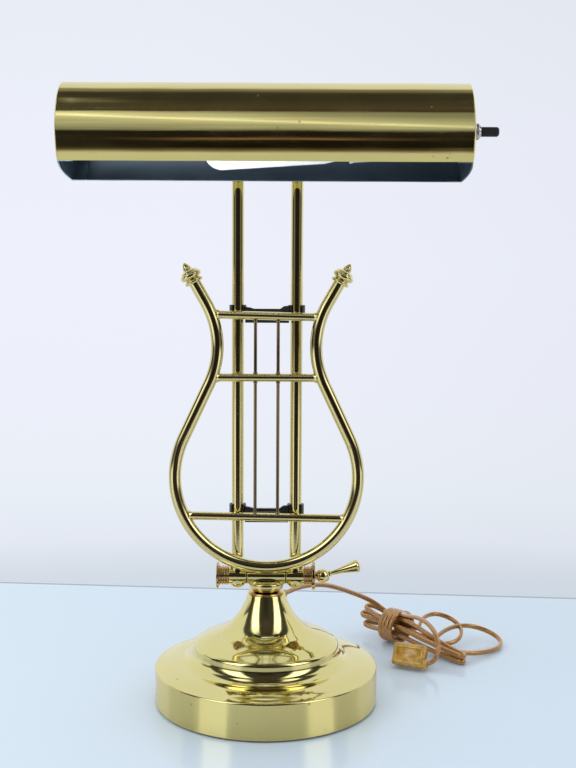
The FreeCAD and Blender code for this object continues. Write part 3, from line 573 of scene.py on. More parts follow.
@dataclass(frozen=True)
class AmberMoulding(Finish):
    """Clear amber plastic over the plug's brass: deeper where it is thick."""

    deep: tuple[float, float, float] = (0.26, 0.10, 0.012)

    def dress(self, tree: Tree, surface: bpy.types.Node) -> None:
        """A translucent body with darker metal showing faintly within.

        Args:
            tree: the material's tree.
            surface: its Principled BSDF.
        """
        place = tree.place()
        cloud = tree.remap(tree.noise(place, 150.0, 3.0, 0.6), 0.42, 0.62)
        body = tree.blend(tree.times(cloud, 0.7), (*self.colour, 1), (*self.deep, 1))
        tree.give(surface, Base_Color=body,
                  Roughness=tree.remap(cloud, 0.0, 1.0, self.rough, self.rough + 0.08), Coat_Weight=0.7,
                  Coat_Roughness=0.08, Subsurface_Weight=0.5, Subsurface_Radius=(0.008, 0.004, 0.001),
                  Normal=tree.bump(tree.noise(place, 700.0, 2.0), 0.06, 0.0004))


BRASS = PolishedBrass("polished brass", (0.77, 0.69, 0.32), 0.07, coat=1.0)
SPUN_BRASS = PolishedBrass("spun base brass", (0.80, 0.73, 0.31), 0.07, smudges=0.8, spots=1.0)
ROLLED_BRASS = PolishedBrass("rolled shade brass", (0.79, 0.71, 0.28), 0.075, rolled=1.0, scratches=0.9,
                             bump=0.05)
WARM_BRASS = PolishedBrass("turned brass", (0.72, 0.50, 0.22), 0.09, spots=1.0)
AGED_BRASS = PolishedBrass("aged brass", (0.56, 0.40, 0.20), 0.08, dark=(0.22, 0.12, 0.05), smudges=1.0,
                           spots=1.4)
STRING_BRASS = PolishedBrass("string brass", (0.34, 0.26, 0.15), 0.16, dark=(0.16, 0.11, 0.06))
OILED = PlainMetal("oiled steel", (0.22, 0.17, 0.10), 0.30)
STAMPED_BRASS = PlainMetal("stamped blades", (0.72, 0.56, 0.28), 0.22)
ZINC = PlainMetal("zinc plated steel", (0.60, 0.60, 0.58), 0.28)
NICKEL = PlainMetal("nickel plate", (0.72, 0.72, 0.70), 0.14)
CAST_IRON = PlainMetal("cast iron", (0.16, 0.16, 0.16), 0.55, grain=0.5, scale=350.0)
BLACK_CLIP = Moulding("black clip moulding", (0.012, 0.011, 0.010), 0.35, (0.03, 0.027, 0.024), coat=0.2)
BLACK_KNOB = Moulding("black knob moulding", (0.008, 0.009, 0.014), 0.42, (0.016, 0.017, 0.022))
ENAMEL = Moulding("slate enamel", (0.078, 0.102, 0.128), 0.42, (0.10, 0.13, 0.16), grain=0.12, scale=700.0)
HOLDER = Moulding("glazed holder", (0.70, 0.68, 0.62), 0.28, (0.62, 0.60, 0.54), coat=0.4)
FELT = Moulding("black felt", (0.02, 0.022, 0.02), 0.9, (0.04, 0.042, 0.04), grain=0.8, scale=1500.0,
                specular=0.2, sheen=0.3)
LEAD = Moulding("lead insulation", (0.03, 0.03, 0.03), 0.45, (0.05, 0.05, 0.05))
GLASS = FrostedGlass("frosted bulb glass", (0.90, 0.92, 0.94), 0.25)
FLEX = TwinFlex("clear gold flex", (0.84, 0.44, 0.12), 0.16)
AMBER = AmberMoulding("amber plug moulding", (0.58, 0.34, 0.05), 0.18)


# ---- shapes ---------------------------------------------------------------------------------


def metres(points: Iterable[Point]) -> list[Vector]:
    """Millimetre points as vectors in metres."""
    return [Vector(p) * MM for p in points]


def arc_points(a: Point, b: Point, c: Point, step: float = 4.0) -> list[tuple[float, float]]:
    """Points along the plane arc from a through b to c.

    Args:
        a: start.
        b: a point on the way.
        c: end.
        step: largest turn between points, in degrees.

    Returns:
        The points after a, up to c.
    """
    (ax, ay), (bx, by), (cx, cy) = a, b, c
    d = 2 * (ax * (by - cy) + bx * (cy - ay) + cx * (ay - by))
    if abs(d) < 1e-9:
        return [(cx, cy)]
    sq = [x * x + y * y for x, y in (a, b, c)]
    ux = (sq[0] * (by - cy) + sq[1] * (cy - ay) + sq[2] * (ay - by)) / d
    uy = (sq[0] * (cx - bx) + sq[1] * (ax - cx) + sq[2] * (bx - ax)) / d
    angles = [math.atan2(y - uy, x - ux) for x, y in (a, b, c)]
    sweep = (angles[2] - angles[0]) % (2 * math.pi)
    if (angles[1] - angles[0]) % (2 * math.pi) > sweep:
        sweep -= 2 * math.pi
    count = max(2, math.ceil(abs(math.degrees(sweep)) / step))
    radius = math.hypot(ax - ux, ay - uy)
    turns = [angles[0] + sweep * (i + 1) / count for i in range(count)]
    return [(ux + radius * math.cos(t), uy + radius * math.sin(t)) for t in turns]


def eased_outline(outline: Outline, ease: float, closed: bool) -> list[tuple[float, float]]:
    """The outline as points, with its straight corners rounded.

    Args:
        outline: (x, y) corners, (x, y, radius) corners with their own rounding, and
            (mx, my, x, y) arcs from the point before, through (mx, my), to (x, y).
        ease: rounding of plain corners.
        closed: whether the last point joins the first.

    Returns:
        The points in order.
    """
    corners: list[tuple[float, float, float]] = []
    here = outline[0][:2]
    for token in outline:
        if len(token) == 4:
            bend = arc_points(here, token[:2], token[2:])
            corners += [(x, y, 0.0) for x, y in bend]
            here = token[2:]
        else:
            corners.append((token[0], token[1], token[2] if len(token) == 3 else ease))
            here = token[:2]
    count = len(corners)
    points: list[tuple[float, float]] = []
    for i, (x, y, radius) in enumerate(corners):
        if radius <= 0 or (not closed and i in (0, count - 1)):
            points.append((x, y))
            continue
        before = np.array(corners[i - 1][:2]) - (x, y)
        after = np.array(corners[(i + 1) % count][:2]) - (x, y)
        runs = np.linalg.norm(before), np.linalg.norm(after)
        if min(runs) < 1e-6:
            points.append((x, y))
            continue
        into, out = before / runs[0], after / runs[1]
        half = math.acos(max(-1.0, min(1.0, float(into @ out)))) / 2
        if half > math.radians(86):
            points.append((x, y))
            continue
        reach = min(radius / math.tan(half), 0.45 * min(runs))
        true = reach * math.tan(half)
        middle = (into + out) / np.linalg.norm(into + out)
        start = np.array((x, y)) + into * reach
        top = np.array((x, y)) + middle * (true / math.sin(half) - true)
        end = np.array((x, y)) + out * reach
        points.append(tuple(start))
        points += arc_points(tuple(start), tuple(top), tuple(end), 20.0)
    return points


def in_scene(name: str, data: bpy.types.ID) -> bpy.types.Object:
    """A new object of some data, linked to the scene."""
    made = bpy.data.objects.new(name, data)
    bpy.context.scene.collection.objects.link(made)
    return made


def sleeve_faces(rings: int, count: int) -> list[tuple[int, ...]]:
    """The faces of a capped sleeve whose rings all have the same number of corners.

    Args:
        rings: how many rings.
        count: corners of each ring.

    Returns:
        Both caps, then the sides.
    """
    faces = [tuple(range(count)), tuple(range((rings - 1) * count, rings * count))]
    for low in range(0, (rings - 1) * count, count):
        high = low + count
        faces += [(low + j, low + (j + 1) % count, high + (j + 1) % count, high + j) for j in range(count)]
    return faces


def mesh_object(name: str, verts: Iterable[Point], faces: Iterable[Sequence[int]], sharp: float = 35.0,
                heal: bool = True) -> bpy.types.Object:
    """A smooth-shaded mesh object at the origin.

    Args:
        name: the piece's name.
        verts: places in metres.
        faces: corner indices.
        sharp: edges that turn more than this, in degrees, stay crisp.
        heal: whether doubles are merged and normals turned outwards.

    Returns:
        The object, in the scene.
    """
    mesh = bpy.data.meshes.new(name)
    mesh.from_pydata([tuple(v) for v in verts], [], [tuple(f) for f in faces])
    piece = in_scene(name, mesh)
    if heal:
        outwards(piece)
    smooth(piece, sharp)
    return piece


def outwards(piece: bpy.types.Object) -> None:
    """Merges doubles and turns the faces outwards."""
    work = bmesh.new()
    work.from_mesh(piece.data)
    bmesh.ops.remove_doubles(work, verts=work.verts, dist=1e-7)
    bmesh.ops.recalc_face_normals(work, faces=work.faces)
    work.to_mesh(piece.data)
    work.free()


def smooth(piece: bpy.types.Object, sharp: float = 35.0) -> None:
    """Shades the piece smooth, with crisp edges above an angle in degrees."""
    piece.data.shade_smooth()
    piece.data.set_sharp_from_angle(angle=math.radians(sharp))


def turned(name: str, outline: Outline, origin: Point = (0, 0, 0), axis: Point = Z_AXIS, ease: float = 0.25,
           segments: int = 96, closed: bool = False, sharp: float = 35.0) -> bpy.types.Object:
    """A turned piece.

    Args:
        name: the piece's name.
        outline: (radius, height) tokens as eased_outline takes them, in millimetres; an open
            outline starts and ends on the axis.
        origin: where height 0 lies, in millimetres.
        axis: the turning axis.
        ease: rounding of plain corners.
        segments: faces round the axis.
        closed: whether the outline is a loop off the axis.
        sharp: edges that turn more than this stay crisp.

    Returns:
        The piece.
    """
    points = eased_outline(outline, ease, closed)
    turn = Vector(Z_AXIS).rotation_difference(Vector(axis)).to_matrix()
    base = Vector(origin)
    verts: list[Vector] = []
    rings: list[list[int]] = []
    for radius, height in points:
        if radius < 1e-6:
            rings.append([len(verts)] * segments)
            verts.append((base + turn @ Vector((0, 0, height))) * MM)
            continue
        rings.append(list(range(len(verts), len(verts) + segments)))
        for i in range(segments):
            angle = 2 * math.pi * i / segments
            local = Vector((radius * math.cos(angle), radius * math.sin(angle), height))
            verts.append((base + turn @ local) * MM)
    faces = []
    pairs = list(zip(rings, rings[1:])) + ([(rings[-1], rings[0])] if closed else [])
    for low, high in pairs:
        for i in range(segments):
            j = (i + 1) % segments
            loop = [low[i], low[j], high[j], high[i]]
            face = [v for k, v in enumerate(loop) if v != loop[k - 1]]
            if len(face) > 2:
                faces.append(face)
    return mesh_object(name, verts, faces, sharp)


def extruded(name: str, outline: list[tuple[float, float]], low: float, high: float,
             origin: Point = (0, 0, 0), turn: Matrix = Matrix.Identity(3)) -> bpy.types.Object:
    """A flat closed outline pushed from low to high along its local Z.

    Args:
        name: the piece's name.
        outline: the outline's points in millimetres.
        low: lower end.
        high: upper end.
        origin: where the local origin lies, in millimetres.
        turn: the local axes.

    Returns:
        The piece.
    """
    base = Vector(origin)
    verts = [(base + turn @ Vector((x, y, z))) * MM for z in (low, high) for x, y in outline]
    return mesh_object(name, verts, sleeve_faces(2, len(outline)))


def apply_modifiers(piece: bpy.types.Object) -> bpy.types.Object:
    """Makes what the modifiers give the piece's own mesh, and drops them.

    Args:
        piece: a mesh or curve object.

    Returns:
        A mesh object of the same name.
    """
    graph = bpy.context.evaluated_depsgraph_get()
    mesh = bpy.data.meshes.new_from_object(piece.evaluated_get(graph))
    name = piece.name
    if piece.type == "MESH":
        piece.modifiers.clear()
        piece.data = mesh
        return piece
    bpy.data.objects.remove(piece)
    return in_scene(name, mesh)


def combined(piece: bpy.types.Object, others: Sequence[bpy.types.Object], operation: str) -> bpy.types.Object:
    """One boolean operation between a solid and others.

    Args:
        piece: the solid that stays.
        others: solids that are used up.
        operation: UNION or DIFFERENCE.

    Returns:
        The piece.
    """
    for other in others:
        step = piece.modifiers.new(operation, "BOOLEAN")
        step.object = other
        step.operation = operation
        step.solver = "EXACT"
    apply_modifiers(piece)
    for other in others:
        bpy.data.objects.remove(other)
    smooth(piece)
    return piece


def merged(name: str, pieces: Sequence[bpy.types.Object]) -> bpy.types.Object:
    """Closed solids, which are used up, as one casting of that name."""
    casting = combined(pieces[0], pieces[1:], "UNION")
    casting.name = name
    return casting


def cut_away(piece: bpy.types.Object, *tools: bpy.types.Object) -> bpy.types.Object:
    """The piece with each tool, which is used up, cut out of it."""
    return combined(piece, tools, "DIFFERENCE")


def joined(name: str, pieces: Sequence[bpy.types.Object]) -> bpy.types.Object:
    """One object of several separate solids.

    Args:
        name: the result's name.
        pieces: the solids, which are used up.

    Returns:
        The object.
    """
    work = bmesh.new()
    for piece in pieces:
        work.from_mesh(piece.data)
    mesh = bpy.data.meshes.new(name)
    work.to_mesh(mesh)
    work.free()
    for piece in pieces:
        bpy.data.objects.remove(piece)
    result = in_scene(name, mesh)
    smooth(result)
    return result


def bevelled(piece: bpy.types.Object, width: float, segments: int = 2,
             angle: float = 40.0) -> bpy.types.Object:
    """The piece with its sharp edges rounded.

    Args:
        piece: the piece.
        width: bevel width in millimetres.
        segments: steps of the bevel.
        angle: edges that turn more than this are rounded.

    Returns:
        The piece.
    """
    bevel = piece.modifiers.new("ease", "BEVEL")
    bevel.width = width * MM
    bevel.segments = segments
    bevel.limit_method = "ANGLE"
    bevel.angle_limit = math.radians(angle)
    apply_modifiers(piece)
    smooth(piece, 50.0)
    return piece


# ---- geometry node tools ----------------------------------------------------------------------


class NodeTool:
    """A Geometry Nodes tree with named inputs that is applied to an object."""

    def __init__(self, name: str, inputs: dict[str, tuple[str, object]],
                 fill: Callable[[Tree, dict], object]) -> None:
        """Builds the tree.

        Args:
            name: the tree's name.
            inputs: socket kind and default by input name.
            fill: makes the nodes from the tree and the input sockets, and gives the geometry.
        """
        self.tree = bpy.data.node_groups.new(name, "GeometryNodeTree")
        face = self.tree.interface
        face.new_socket("Geometry", in_out="INPUT", socket_type="NodeSocketGeometry")
        for key, (kind, value) in inputs.items():
            socket = face.new_socket(key, in_out="INPUT", socket_type="NodeSocket" + kind)
            if value is not None:
                socket.default_value = value
        face.new_socket("Finish", in_out="INPUT", socket_type="NodeSocketMaterial")
        face.new_socket("Geometry", in_out="OUTPUT", socket_type="NodeSocketGeometry")
        build = Tree(self.tree)
        source = build.add("NodeGroupInput")
        shape = fill(build, {s.name: s for s in source.outputs if s.name})
        real = build.add("GeometryNodeRealizeInstances", None, i0=shape)
        dressed = build.add("GeometryNodeSetMaterial", None, Geometry=real.outputs[0],
                            Material=source.outputs["Finish"])
        sink = build.add("NodeGroupOutput")
        self.tree.links.new(dressed.outputs[0], sink.inputs[0])

    def run(self, piece: bpy.types.Object, finish: Finish, **values: object) -> bpy.types.Object:
        """Applies the tree to a piece.

        Args:
            piece: a mesh or curve object, which is used up.
            finish: the finish of the result.
            values: inputs by name, with underscores for spaces.

        Returns:
            A plain mesh object of the same name.
        """
        step = piece.modifiers.new(self.tree.name, "NODES")
        step.node_group = self.tree
        sockets = {s.name: s.identifier for s in self.tree.interface.items_tree
                   if getattr(s, "in_out", "") == "INPUT"}
        for key, value in values.items():
            step[sockets[key.replace("_", " ")]] = value
        step[sockets["Finish"]] = finish.material()
        piece.update_tag()
        result = apply_modifiers(piece)
        smooth(result)
        return result


def tube_tool() -> NodeTool:
    """A round rod or tube that follows a curve.

    Returns:
        The tool, with inputs Radius and Round Steps.
    """
    def fill(t: Tree, given: dict) -> object:
        """Makes the nodes of the tree."""
        ring = t.add("GeometryNodeCurvePrimitiveCircle", None, Resolution=given["Round Steps"],
                     Radius=given["Radius"])
        swept = t.add("GeometryNodeCurveToMesh", None, Curve=given["Geometry"], Profile_Curve=ring.outputs[0],
                      Fill_Caps=True)
        return swept.outputs[0]

    return NodeTool("rod along a curve", {"Radius": ("Float", 0.005), "Round Steps": ("Int", 32)}, fill)


def scatter_tool() -> NodeTool:
    """One small part repeated at the points of a mesh.

    Returns:
        The tool, with the input Part.
    """
    def fill(t: Tree, given: dict) -> object:
        """Makes the nodes of the tree."""
        part = t.add("GeometryNodeObjectInfo", {"transform_space": "ORIGINAL"}, Object=given["Part"])
        spread = t.add("GeometryNodeInstanceOnPoints", None, Points=given["Geometry"],
                       Instance=part.outputs["Geometry"])
        return spread.outputs[0]

    return NodeTool("part at each point", {"Part": ("Object", None)}, fill)


def ring_tool() -> NodeTool:
    """Ribs or teeth round an axis: the part is repeated on a circle about X.

    Returns:
        The tool, with inputs Part, Count, Radius and Centre.
    """
    def fill(t: Tree, given: dict) -> object:
        """Makes the nodes of the tree."""
        part = t.add("GeometryNodeObjectInfo", {"transform_space": "ORIGINAL"}, Object=given["Part"])
        circle = t.add("GeometryNodeMeshCircle", None, Vertices=given["Count"], Radius=given["Radius"])
        upright = t.add("GeometryNodeTransform", None, Geometry=circle.outputs[0],
                        Translation=given["Centre"], Rotation=(0.0, math.pi / 2, 0.0))
        spread = t.add("GeometryNodeInstanceOnPoints", None, Points=upright.outputs[0],
                       Instance=part.outputs["Geometry"])
        both = t.add("GeometryNodeJoinGeometry")
        t.tree.links.new(given["Geometry"], both.inputs[0])
        t.tree.links.new(spread.outputs[0], both.inputs[0])
        return both.outputs[0]

    return NodeTool("ribs round an axis",
                    {"Part": ("Object", None), "Count": ("Int", 12), "Radius": ("Float", 0.004),
                                           "Centre": ("Vector", (0.0, 0.0, 0.0))}, fill)


def path_curve(name: str, points: Sequence[Vector], kind: str = "POLY") -> bpy.types.Object:
    """A curve with one open spline.

    Args:
        name: the curve's name.
        points: its points, or its control points, in metres.
        kind: POLY, or NURBS for a smooth line of order 3.

    Returns:
        The curve object.
    """
    data = bpy.data.curves.new(name, "CURVE")
    data.dimensions = "3D"
    line = data.splines.new(kind)
    line.points.add(len(points) - 1)
    for slot, p in zip(line.points, points):
        slot.co = (*p, 1.0)
    if kind == "NURBS":
        line.order_u = 3
        line.use_endpoint_u = True
    return in_scene(name, data)


@dataclass
class Workshop:
    """What all sub-assemblies share: the frame and the node tools."""

    frame: dict
    tube: NodeTool = field(default_factory=tube_tool)
    scatter: NodeTool = field(default_factory=scatter_tool)
    ring: NodeTool = field(default_factory=ring_tool)

    def keep(self, finish: Finish, *names: str) -> None:
        """Dresses carried-over solids.

        Args:
            finish: their finish.
            names: the solids' names.
        """
        for name in names:
            finish.put_on(self.frame["nodes"][name])
            LOG.info("%s: kept, %s", name, finish.name)

    def place(self, piece: bpy.types.Object, body: Body, slot: str, finish: Optional[Finish],
              *nodes: str) -> bpy.types.Object:
        """Puts a piece on its body, in place of its solids.

        Args:
            piece: the finished piece.
            body: what it rides on.
            slot: the record's material slot; not used.
            finish: its finish, or None where it is dressed already.
            nodes: the solids that it stands for.

        Returns:
            The piece.
        """
        if finish:
            finish.put_on(piece)
        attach(piece, body.value)
        if nodes:
            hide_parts(*nodes)
        LOG.info("%s: %d faces, rides on %s", piece.name, len(piece.data.polygons), body.value)
        return piece

    def brass(self, piece: bpy.types.Object, body: Body, finish: Optional[Finish],
              *nodes: str) -> bpy.types.Object:
        """Places a piece of lacquered brass; the rest is as for place."""
        return self.place(piece, body, "lacquered_brass", finish, *nodes)

    def rod(self, name: str, points: Sequence[Point], radius: float, finish: Finish,
            steps: int) -> bpy.types.Object:
        """A round rod along millimetre points.

        Args:
            name: the rod's name.
            points: its centre line.
            radius: its radius in millimetres.
            finish: its finish.
            steps: faces round it.

        Returns:
            The rod.
        """
        return self.tube.run(path_curve(name, metres(points)), finish, Radius=radius * MM, Round_Steps=steps)


# ---- base -------------------------------------------------------------------------------------


@dataclass
class Base:
    """The spun base with its felt, weight, collar and cord bushing."""

    radius: float = 109.0
    foot_z: float = 1.7
    shoulder_z: float = 36.0
    rim_corner: float = 1.6
    neck_radius: float = 18.3
    neck_top: float = 107.0
    bore: float = 5.0
    collar_height: float = 1.8
    felt_inset: float = 2.5

    def shell_outline(self) -> Outline:
        """The sheet's outline, down the outside and up the inside.

        Returns:
            Tokens for eased_outline.
        """
        rim = self.radius - self.rim_corner
        outer: Outline = [
            (self.bore, self.neck_top), (self.neck_radius, self.neck_top, 0.4), (24.0, 92.0, 33.5, 79.0),
            (41.6, 72.0, 50.5, 67.7), (59.5, 64.0, 68.2, 59.2), (68.9, 58.8, 69.3, 58.4),
            (70.7, 57.0, 71.2, 55.4), (71.2, 52.6, 0.0), (72.2, 48.9, 75.2, 45.6), (78.6, 42.7, 84.0, 41.0),
            (95.7, 39.3, rim, self.shoulder_z),
            (self.radius - 0.45, self.shoulder_z - 0.5, self.radius, self.shoulder_z - self.rim_corner),
            (self.radius, self.foot_z + 0.9, 0.0),
            (self.radius - 0.2, self.foot_z + 0.2, self.radius - 0.7, self.foot_z),
        ]
        inner: Outline = [
            (self.radius - 1.3, self.foot_z + 0.3, self.radius - 1.4, self.foot_z + 1.2),
            (self.radius - 1.4, self.shoulder_z - 3.2, 1.5), (self.radius - 4.0, self.shoulder_z - 1.2, 1.0),
            (84.0, 39.6), (77.0, 42.0), (73.4, 45.4), (70.0, 52.4), (67.8, 57.6), (51.5, 66.2), (33.0, 77.2),
            (23.0, 91.5), (self.neck_radius - 1.4, self.neck_top - 1.2), (self.bore, self.neck_top - 1.2),
        ]
        return outer + inner

    def build(self, shop: Workshop) -> None:
        """Builds and dresses the base.

        Args:
            shop: shared tools.
        """
        shell = turned("spun_base", self.shell_outline(), ease=0.0, segments=256, closed=True, sharp=50.0)
        shop.brass(shell, Body.BASE, SPUN_BRASS, "base_shell")
        low, full = self.neck_top, self.collar_height
        collar = turned("neck_ring", [
            (self.bore, low), (16.7, low, 0.2), (17.6, low + full / 2, 16.7, low + full),
            (self.bore, low + full)],
            ease=0.1, closed=True, segments=128)
        shop.brass(collar, Body.BASE, WARM_BRASS, "neck_collar")
        felt_r = self.radius - self.felt_inset
        felt = turned("felt_disc",
                      [(0, 0), (felt_r - 1, 0.0, 0.5), (felt_r, 0.8), (felt_r, 2.6), (felt_r - 0.6, 3.0),
                       (0, 3.0)], segments=192)
        shop.place(felt, Body.BASE, "felt", FELT, "felt_pad")
        shop.keep(CAST_IRON, "base_weight")
        shop.keep(ZINC, "base_cover", "stem_tube", "base_nipple", "base_nut", "base_lock_washer")
        self.bushing(shop)

    def bushing(self, shop: Workshop) -> None:
        """The tapered strain relief with its ribs, out of the rear of the neck.

        Args:
            shop: shared tools.
        """
        angle = math.radians(60)
        way = (math.cos(angle), math.sin(angle), 0)
        outline: Outline = [(0, 16.5), (4.6, 16.5), (4.6, 23.6), (5.8, 24.0, 0.3), (5.8, 25.6, 0.5),
                            (4.7, 26.0)]
        for i in range(4):
            start = 26.8 + i * 2.1
            outline += [(4.6 - 0.16 * i, start, 0.1), (4.1 - 0.16 * i, start + 0.4, 0.1),
                        (4.1 - 0.16 * i, start + 1.0, 0.1), (4.5 - 0.16 * i, start + 1.4, 0.1)]
        outline += [(3.7, 35.2), (3.2, 36.0, 0.3), (0, 36.0)]
        relief = turned("strain_relief", outline, (0, 0, 97.0), way, ease=0.1, segments=40)
        shop.brass(relief, Body.BASE, WARM_BRASS, "cord_bushing")


# ---- pivots and lever -------------------------------------------------------------------------


@dataclass
class LowerPivot:
    """The clamped pivot: fixed barrel and cup, knuckles, grooved rings, discs and lever."""

    axis_z: float = 124.0
    barrel: float = 8.6
    centre_half: float = 18.4
    knuckle_start: float = 19.5
    knuckle_length: float = 17.4
    post_x: float = 28.2
    ring_length: float = 7.2
    left_extra: float = 1.7
    ring: float = 9.4
    ring_groove: float = 8.35
    ball: float = 7.0
    ball_x: float = 55.4
    lever_angle: float = 17.0
    lever_length: float = 38.5

    @property
    def ring_start(self) -> float:
        """How far from the middle the grooved rings start."""
        return self.knuckle_start + self.knuckle_length + 0.1

    def drum(self, x: float, half: float, z: float, segments: int = 72) -> bpy.types.Object:
        """A plain barrel along X.

        Args:
            x: its middle.
            half: half its length.
            z: its height.
            segments: faces round it.

        Returns:
            The barrel.
        """
        outline = [(0, -half), (self.barrel, -half, 0.7), (self.barrel, half, 0.7), (0, half)]
        return turned("drum", outline, (x, 0, z), X_AXIS, segments=segments)

    def knuckle(self, name: str, side: int, centre_z: float, up: int) -> bpy.types.Object:
        """An outer knuckle: a barrel, a boss that takes the post and a domed far side.

        Args:
            name: the piece's name.
            side: -1 for the left, 1 for the right.
            centre_z: height of the pivot's axis.
            up: which way the boss points.

        Returns:
            The casting.
        """
        half = self.knuckle_length / 2
        drum = self.drum(side * (self.knuckle_start + half), half, centre_z, 64)
        boss = turned("boss", [(0, 15.0), (7.4, 15.0, 0.9), (7.4, 9.0, 2.0), (7.9, 0, 3.0), (7.9, -7.0, 0.0),
                               (5.9, -10.2, 0, -11.6)], (side * self.post_x, 0, centre_z), (0, 0, up),
                               segments=64)
        return bevelled(merged(name, [drum, boss]), 0.45, 3, 25.0)

    def grooved(self, name: str, side: int, length: float, grooves: int) -> bpy.types.Object:
        """A spacer ring with narrow turned grooves.

        Args:
            name: the piece's name.
            side: which end of the pivot.
            length: its length.
            grooves: how many grooves.

        Returns:
            The ring.
        """
        pitch = length / (2 * grooves + 1)
        bore, top, low = 4.1, self.ring, self.ring_groove
        outline: Outline = [(bore, 0), (top, 0, 0.5)]
        for i in range(grooves):
            start = (2 * i + 1) * pitch
            end = start + pitch
            outline += [(top, start, 0.5), (low, start + 0.3, 0.4), (low, end - 0.3, 0.4), (top, end, 0.5)]
        outline += [(top, length, 0.4), (bore, length)]
        origin = (side * self.ring_start, 0, self.axis_z)
        return turned(name, outline, origin, (side, 0, 0), ease=0.2, closed=True, segments=72)

    def build(self, shop: Workshop) -> None:
        """Builds and dresses the pivot.

        Args:
            shop: shared tools.
        """
        z = self.axis_z
        drum = self.drum(0, self.centre_half, z)
        cup = turned("cup",
                     [(0, 108.8), (11.4, 108.8, 0.5), (16.0, 112.0, 17.3, 116.6), (17.1, 117.8, 1.0),
                      (14.2, 120.0, 2.0), (9.0, 121.0), (0, 121.2)], segments=96)
        shop.brass(merged("fixed_barrel", [drum, cup]), Body.BASE, BRASS, "centre_knuckle")
        for name, side in SIDES:
            knuckle = self.knuckle(name + "_lower_casting", side, z, 1)
            shop.brass(knuckle, Body.ARM, BRASS, name + "_knuckle")
        left_length = self.ring_length + self.left_extra
        for name, side, length, grooves in (("left", -1, left_length, 3), ("right", 1, self.ring_length, 2)):
            ring = self.grooved(name + "_grooved_ring", side, length, grooves)
            shop.brass(ring, Body.BASE, AGED_BRASS, name + "_pivot_ring")
        for name, side, radius, thick, length in (("left", -1, 12.9, 3.2, left_length),
                                                  ("right", 1, 13.7, 3.9, self.ring_length)):
            disc = turned(name + "_disc", [
                (0, 0), (radius - 2.6, 0.0), (radius - 2.2, 0.5, 0.3), (radius, 0.6, 0.5),
                (radius, thick - 0.5, 0.8), (radius - 2.0, thick - 0.2, 0.6),
                (radius - 5.0, thick - 0.9, 0.6), (5.4, thick - 0.7, 0.5), (4.6, thick, 0.4), (0, thick)],
                (side * (self.ring_start + length), 0, z), (side, 0, 0), segments=96)
            shop.brass(disc, Body.BASE, AGED_BRASS, name + "_pivot_disc")
        shop.keep(OILED, "friction_washers")
        shop.keep(AGED_BRASS, "pivot_bolt")
        self.lever(shop)

    def lever(self, shop: Workshop) -> None:
        """The clamp lever: a ball with a flared handle.

        Args:
            shop: shared tools.
        """
        x, r, seat = self.ball_x, self.ball, 3.6
        flat = math.sqrt(r * r - seat * seat)
        ball = turned("lever_knob", [(0, -flat), (seat, -flat, 0.0), (r, 0, 0, r)], (x, 0, self.axis_z),
                      X_AXIS, segments=64)
        shop.brass(ball, Body.LEVER, BRASS, "lever_ball")
        angle = math.radians(self.lever_angle)
        way = (math.cos(angle), 0, math.sin(angle))
        end = self.lever_length
        handle = turned("flared_handle", [
            (0, 3.5), (1.8, 3.5, 0.0), (1.8, r - 0.3, 0.0), (2.9, r - 0.1, 0.2), (2.9, r + 1.0, 0.4),
            (2.1, r + 1.6, 0.5), (3.0, r + 11, 5.0), (4.7, r + 20, 8.0), (6.2, end - 4.8, 1.0),
            (6.55, end - 3.4, 0.8), (5.2, end - 1.5, 1.4), (2.6, end - 0.35, 2.0), (0, end)],
            (x, 0, self.axis_z), way, segments=64)
        shop.brass(handle, Body.LEVER, BRASS, "lever_handle")


@dataclass
class UpperPivot:
    """The shade's pivot: the shade's barrel between two knuckles, washers and acorn nuts."""

    axis_z: float = 540.0
    nut_start: float = 37.0

    def build(self, shop: Workshop, lower: LowerPivot) -> None:
        """Builds and dresses the pivot.

        Args:
            shop: shared tools.
            lower: the lower pivot, whose castings are repeated here.
        """
        z = self.axis_z
        for name, side in SIDES:
            casting = lower.knuckle(name + "_upper_casting", side, z, -1)
            shop.brass(casting, Body.ARM, BRASS, name + "_top_knuckle")
        drum = lower.drum(0, lower.centre_half, z)
        stub = turned("stub", [(0, 0), (7.4, 0), (7.4, 14.0, 1.5), (9.6, 16.9, 1.2), (9.6, 19.3), (0, 19.3)],
                      (0, 0, z), (0, -1, 0), segments=72)
        shop.brass(merged("shade_casting", [drum, stub]), Body.SHADE, BRASS, "shade_knuckle")
        nuts = []
        for name, side in SIDES:
            nuts.append(turned(name + "_nut", [
                (0, 0), (6.6, 0, 0.3), (7.4, 0.7, 0.3), (7.4, 2.7, 0.3), (6.3, 3.2, 0.3), (6.2, 3.6, 0.3),
                (4.6, 7.9, 0, 9.5)], (side * self.nut_start, 0, z), (side, 0, 0), segments=64))
        shop.brass(joined("acorn_nuts", nuts), Body.ARM, BRASS, "top_acorn_nuts")
        shop.keep(ZINC, "top_bolt", "top_washers")


# ---- arm --------------------------------------------------------------------------------------


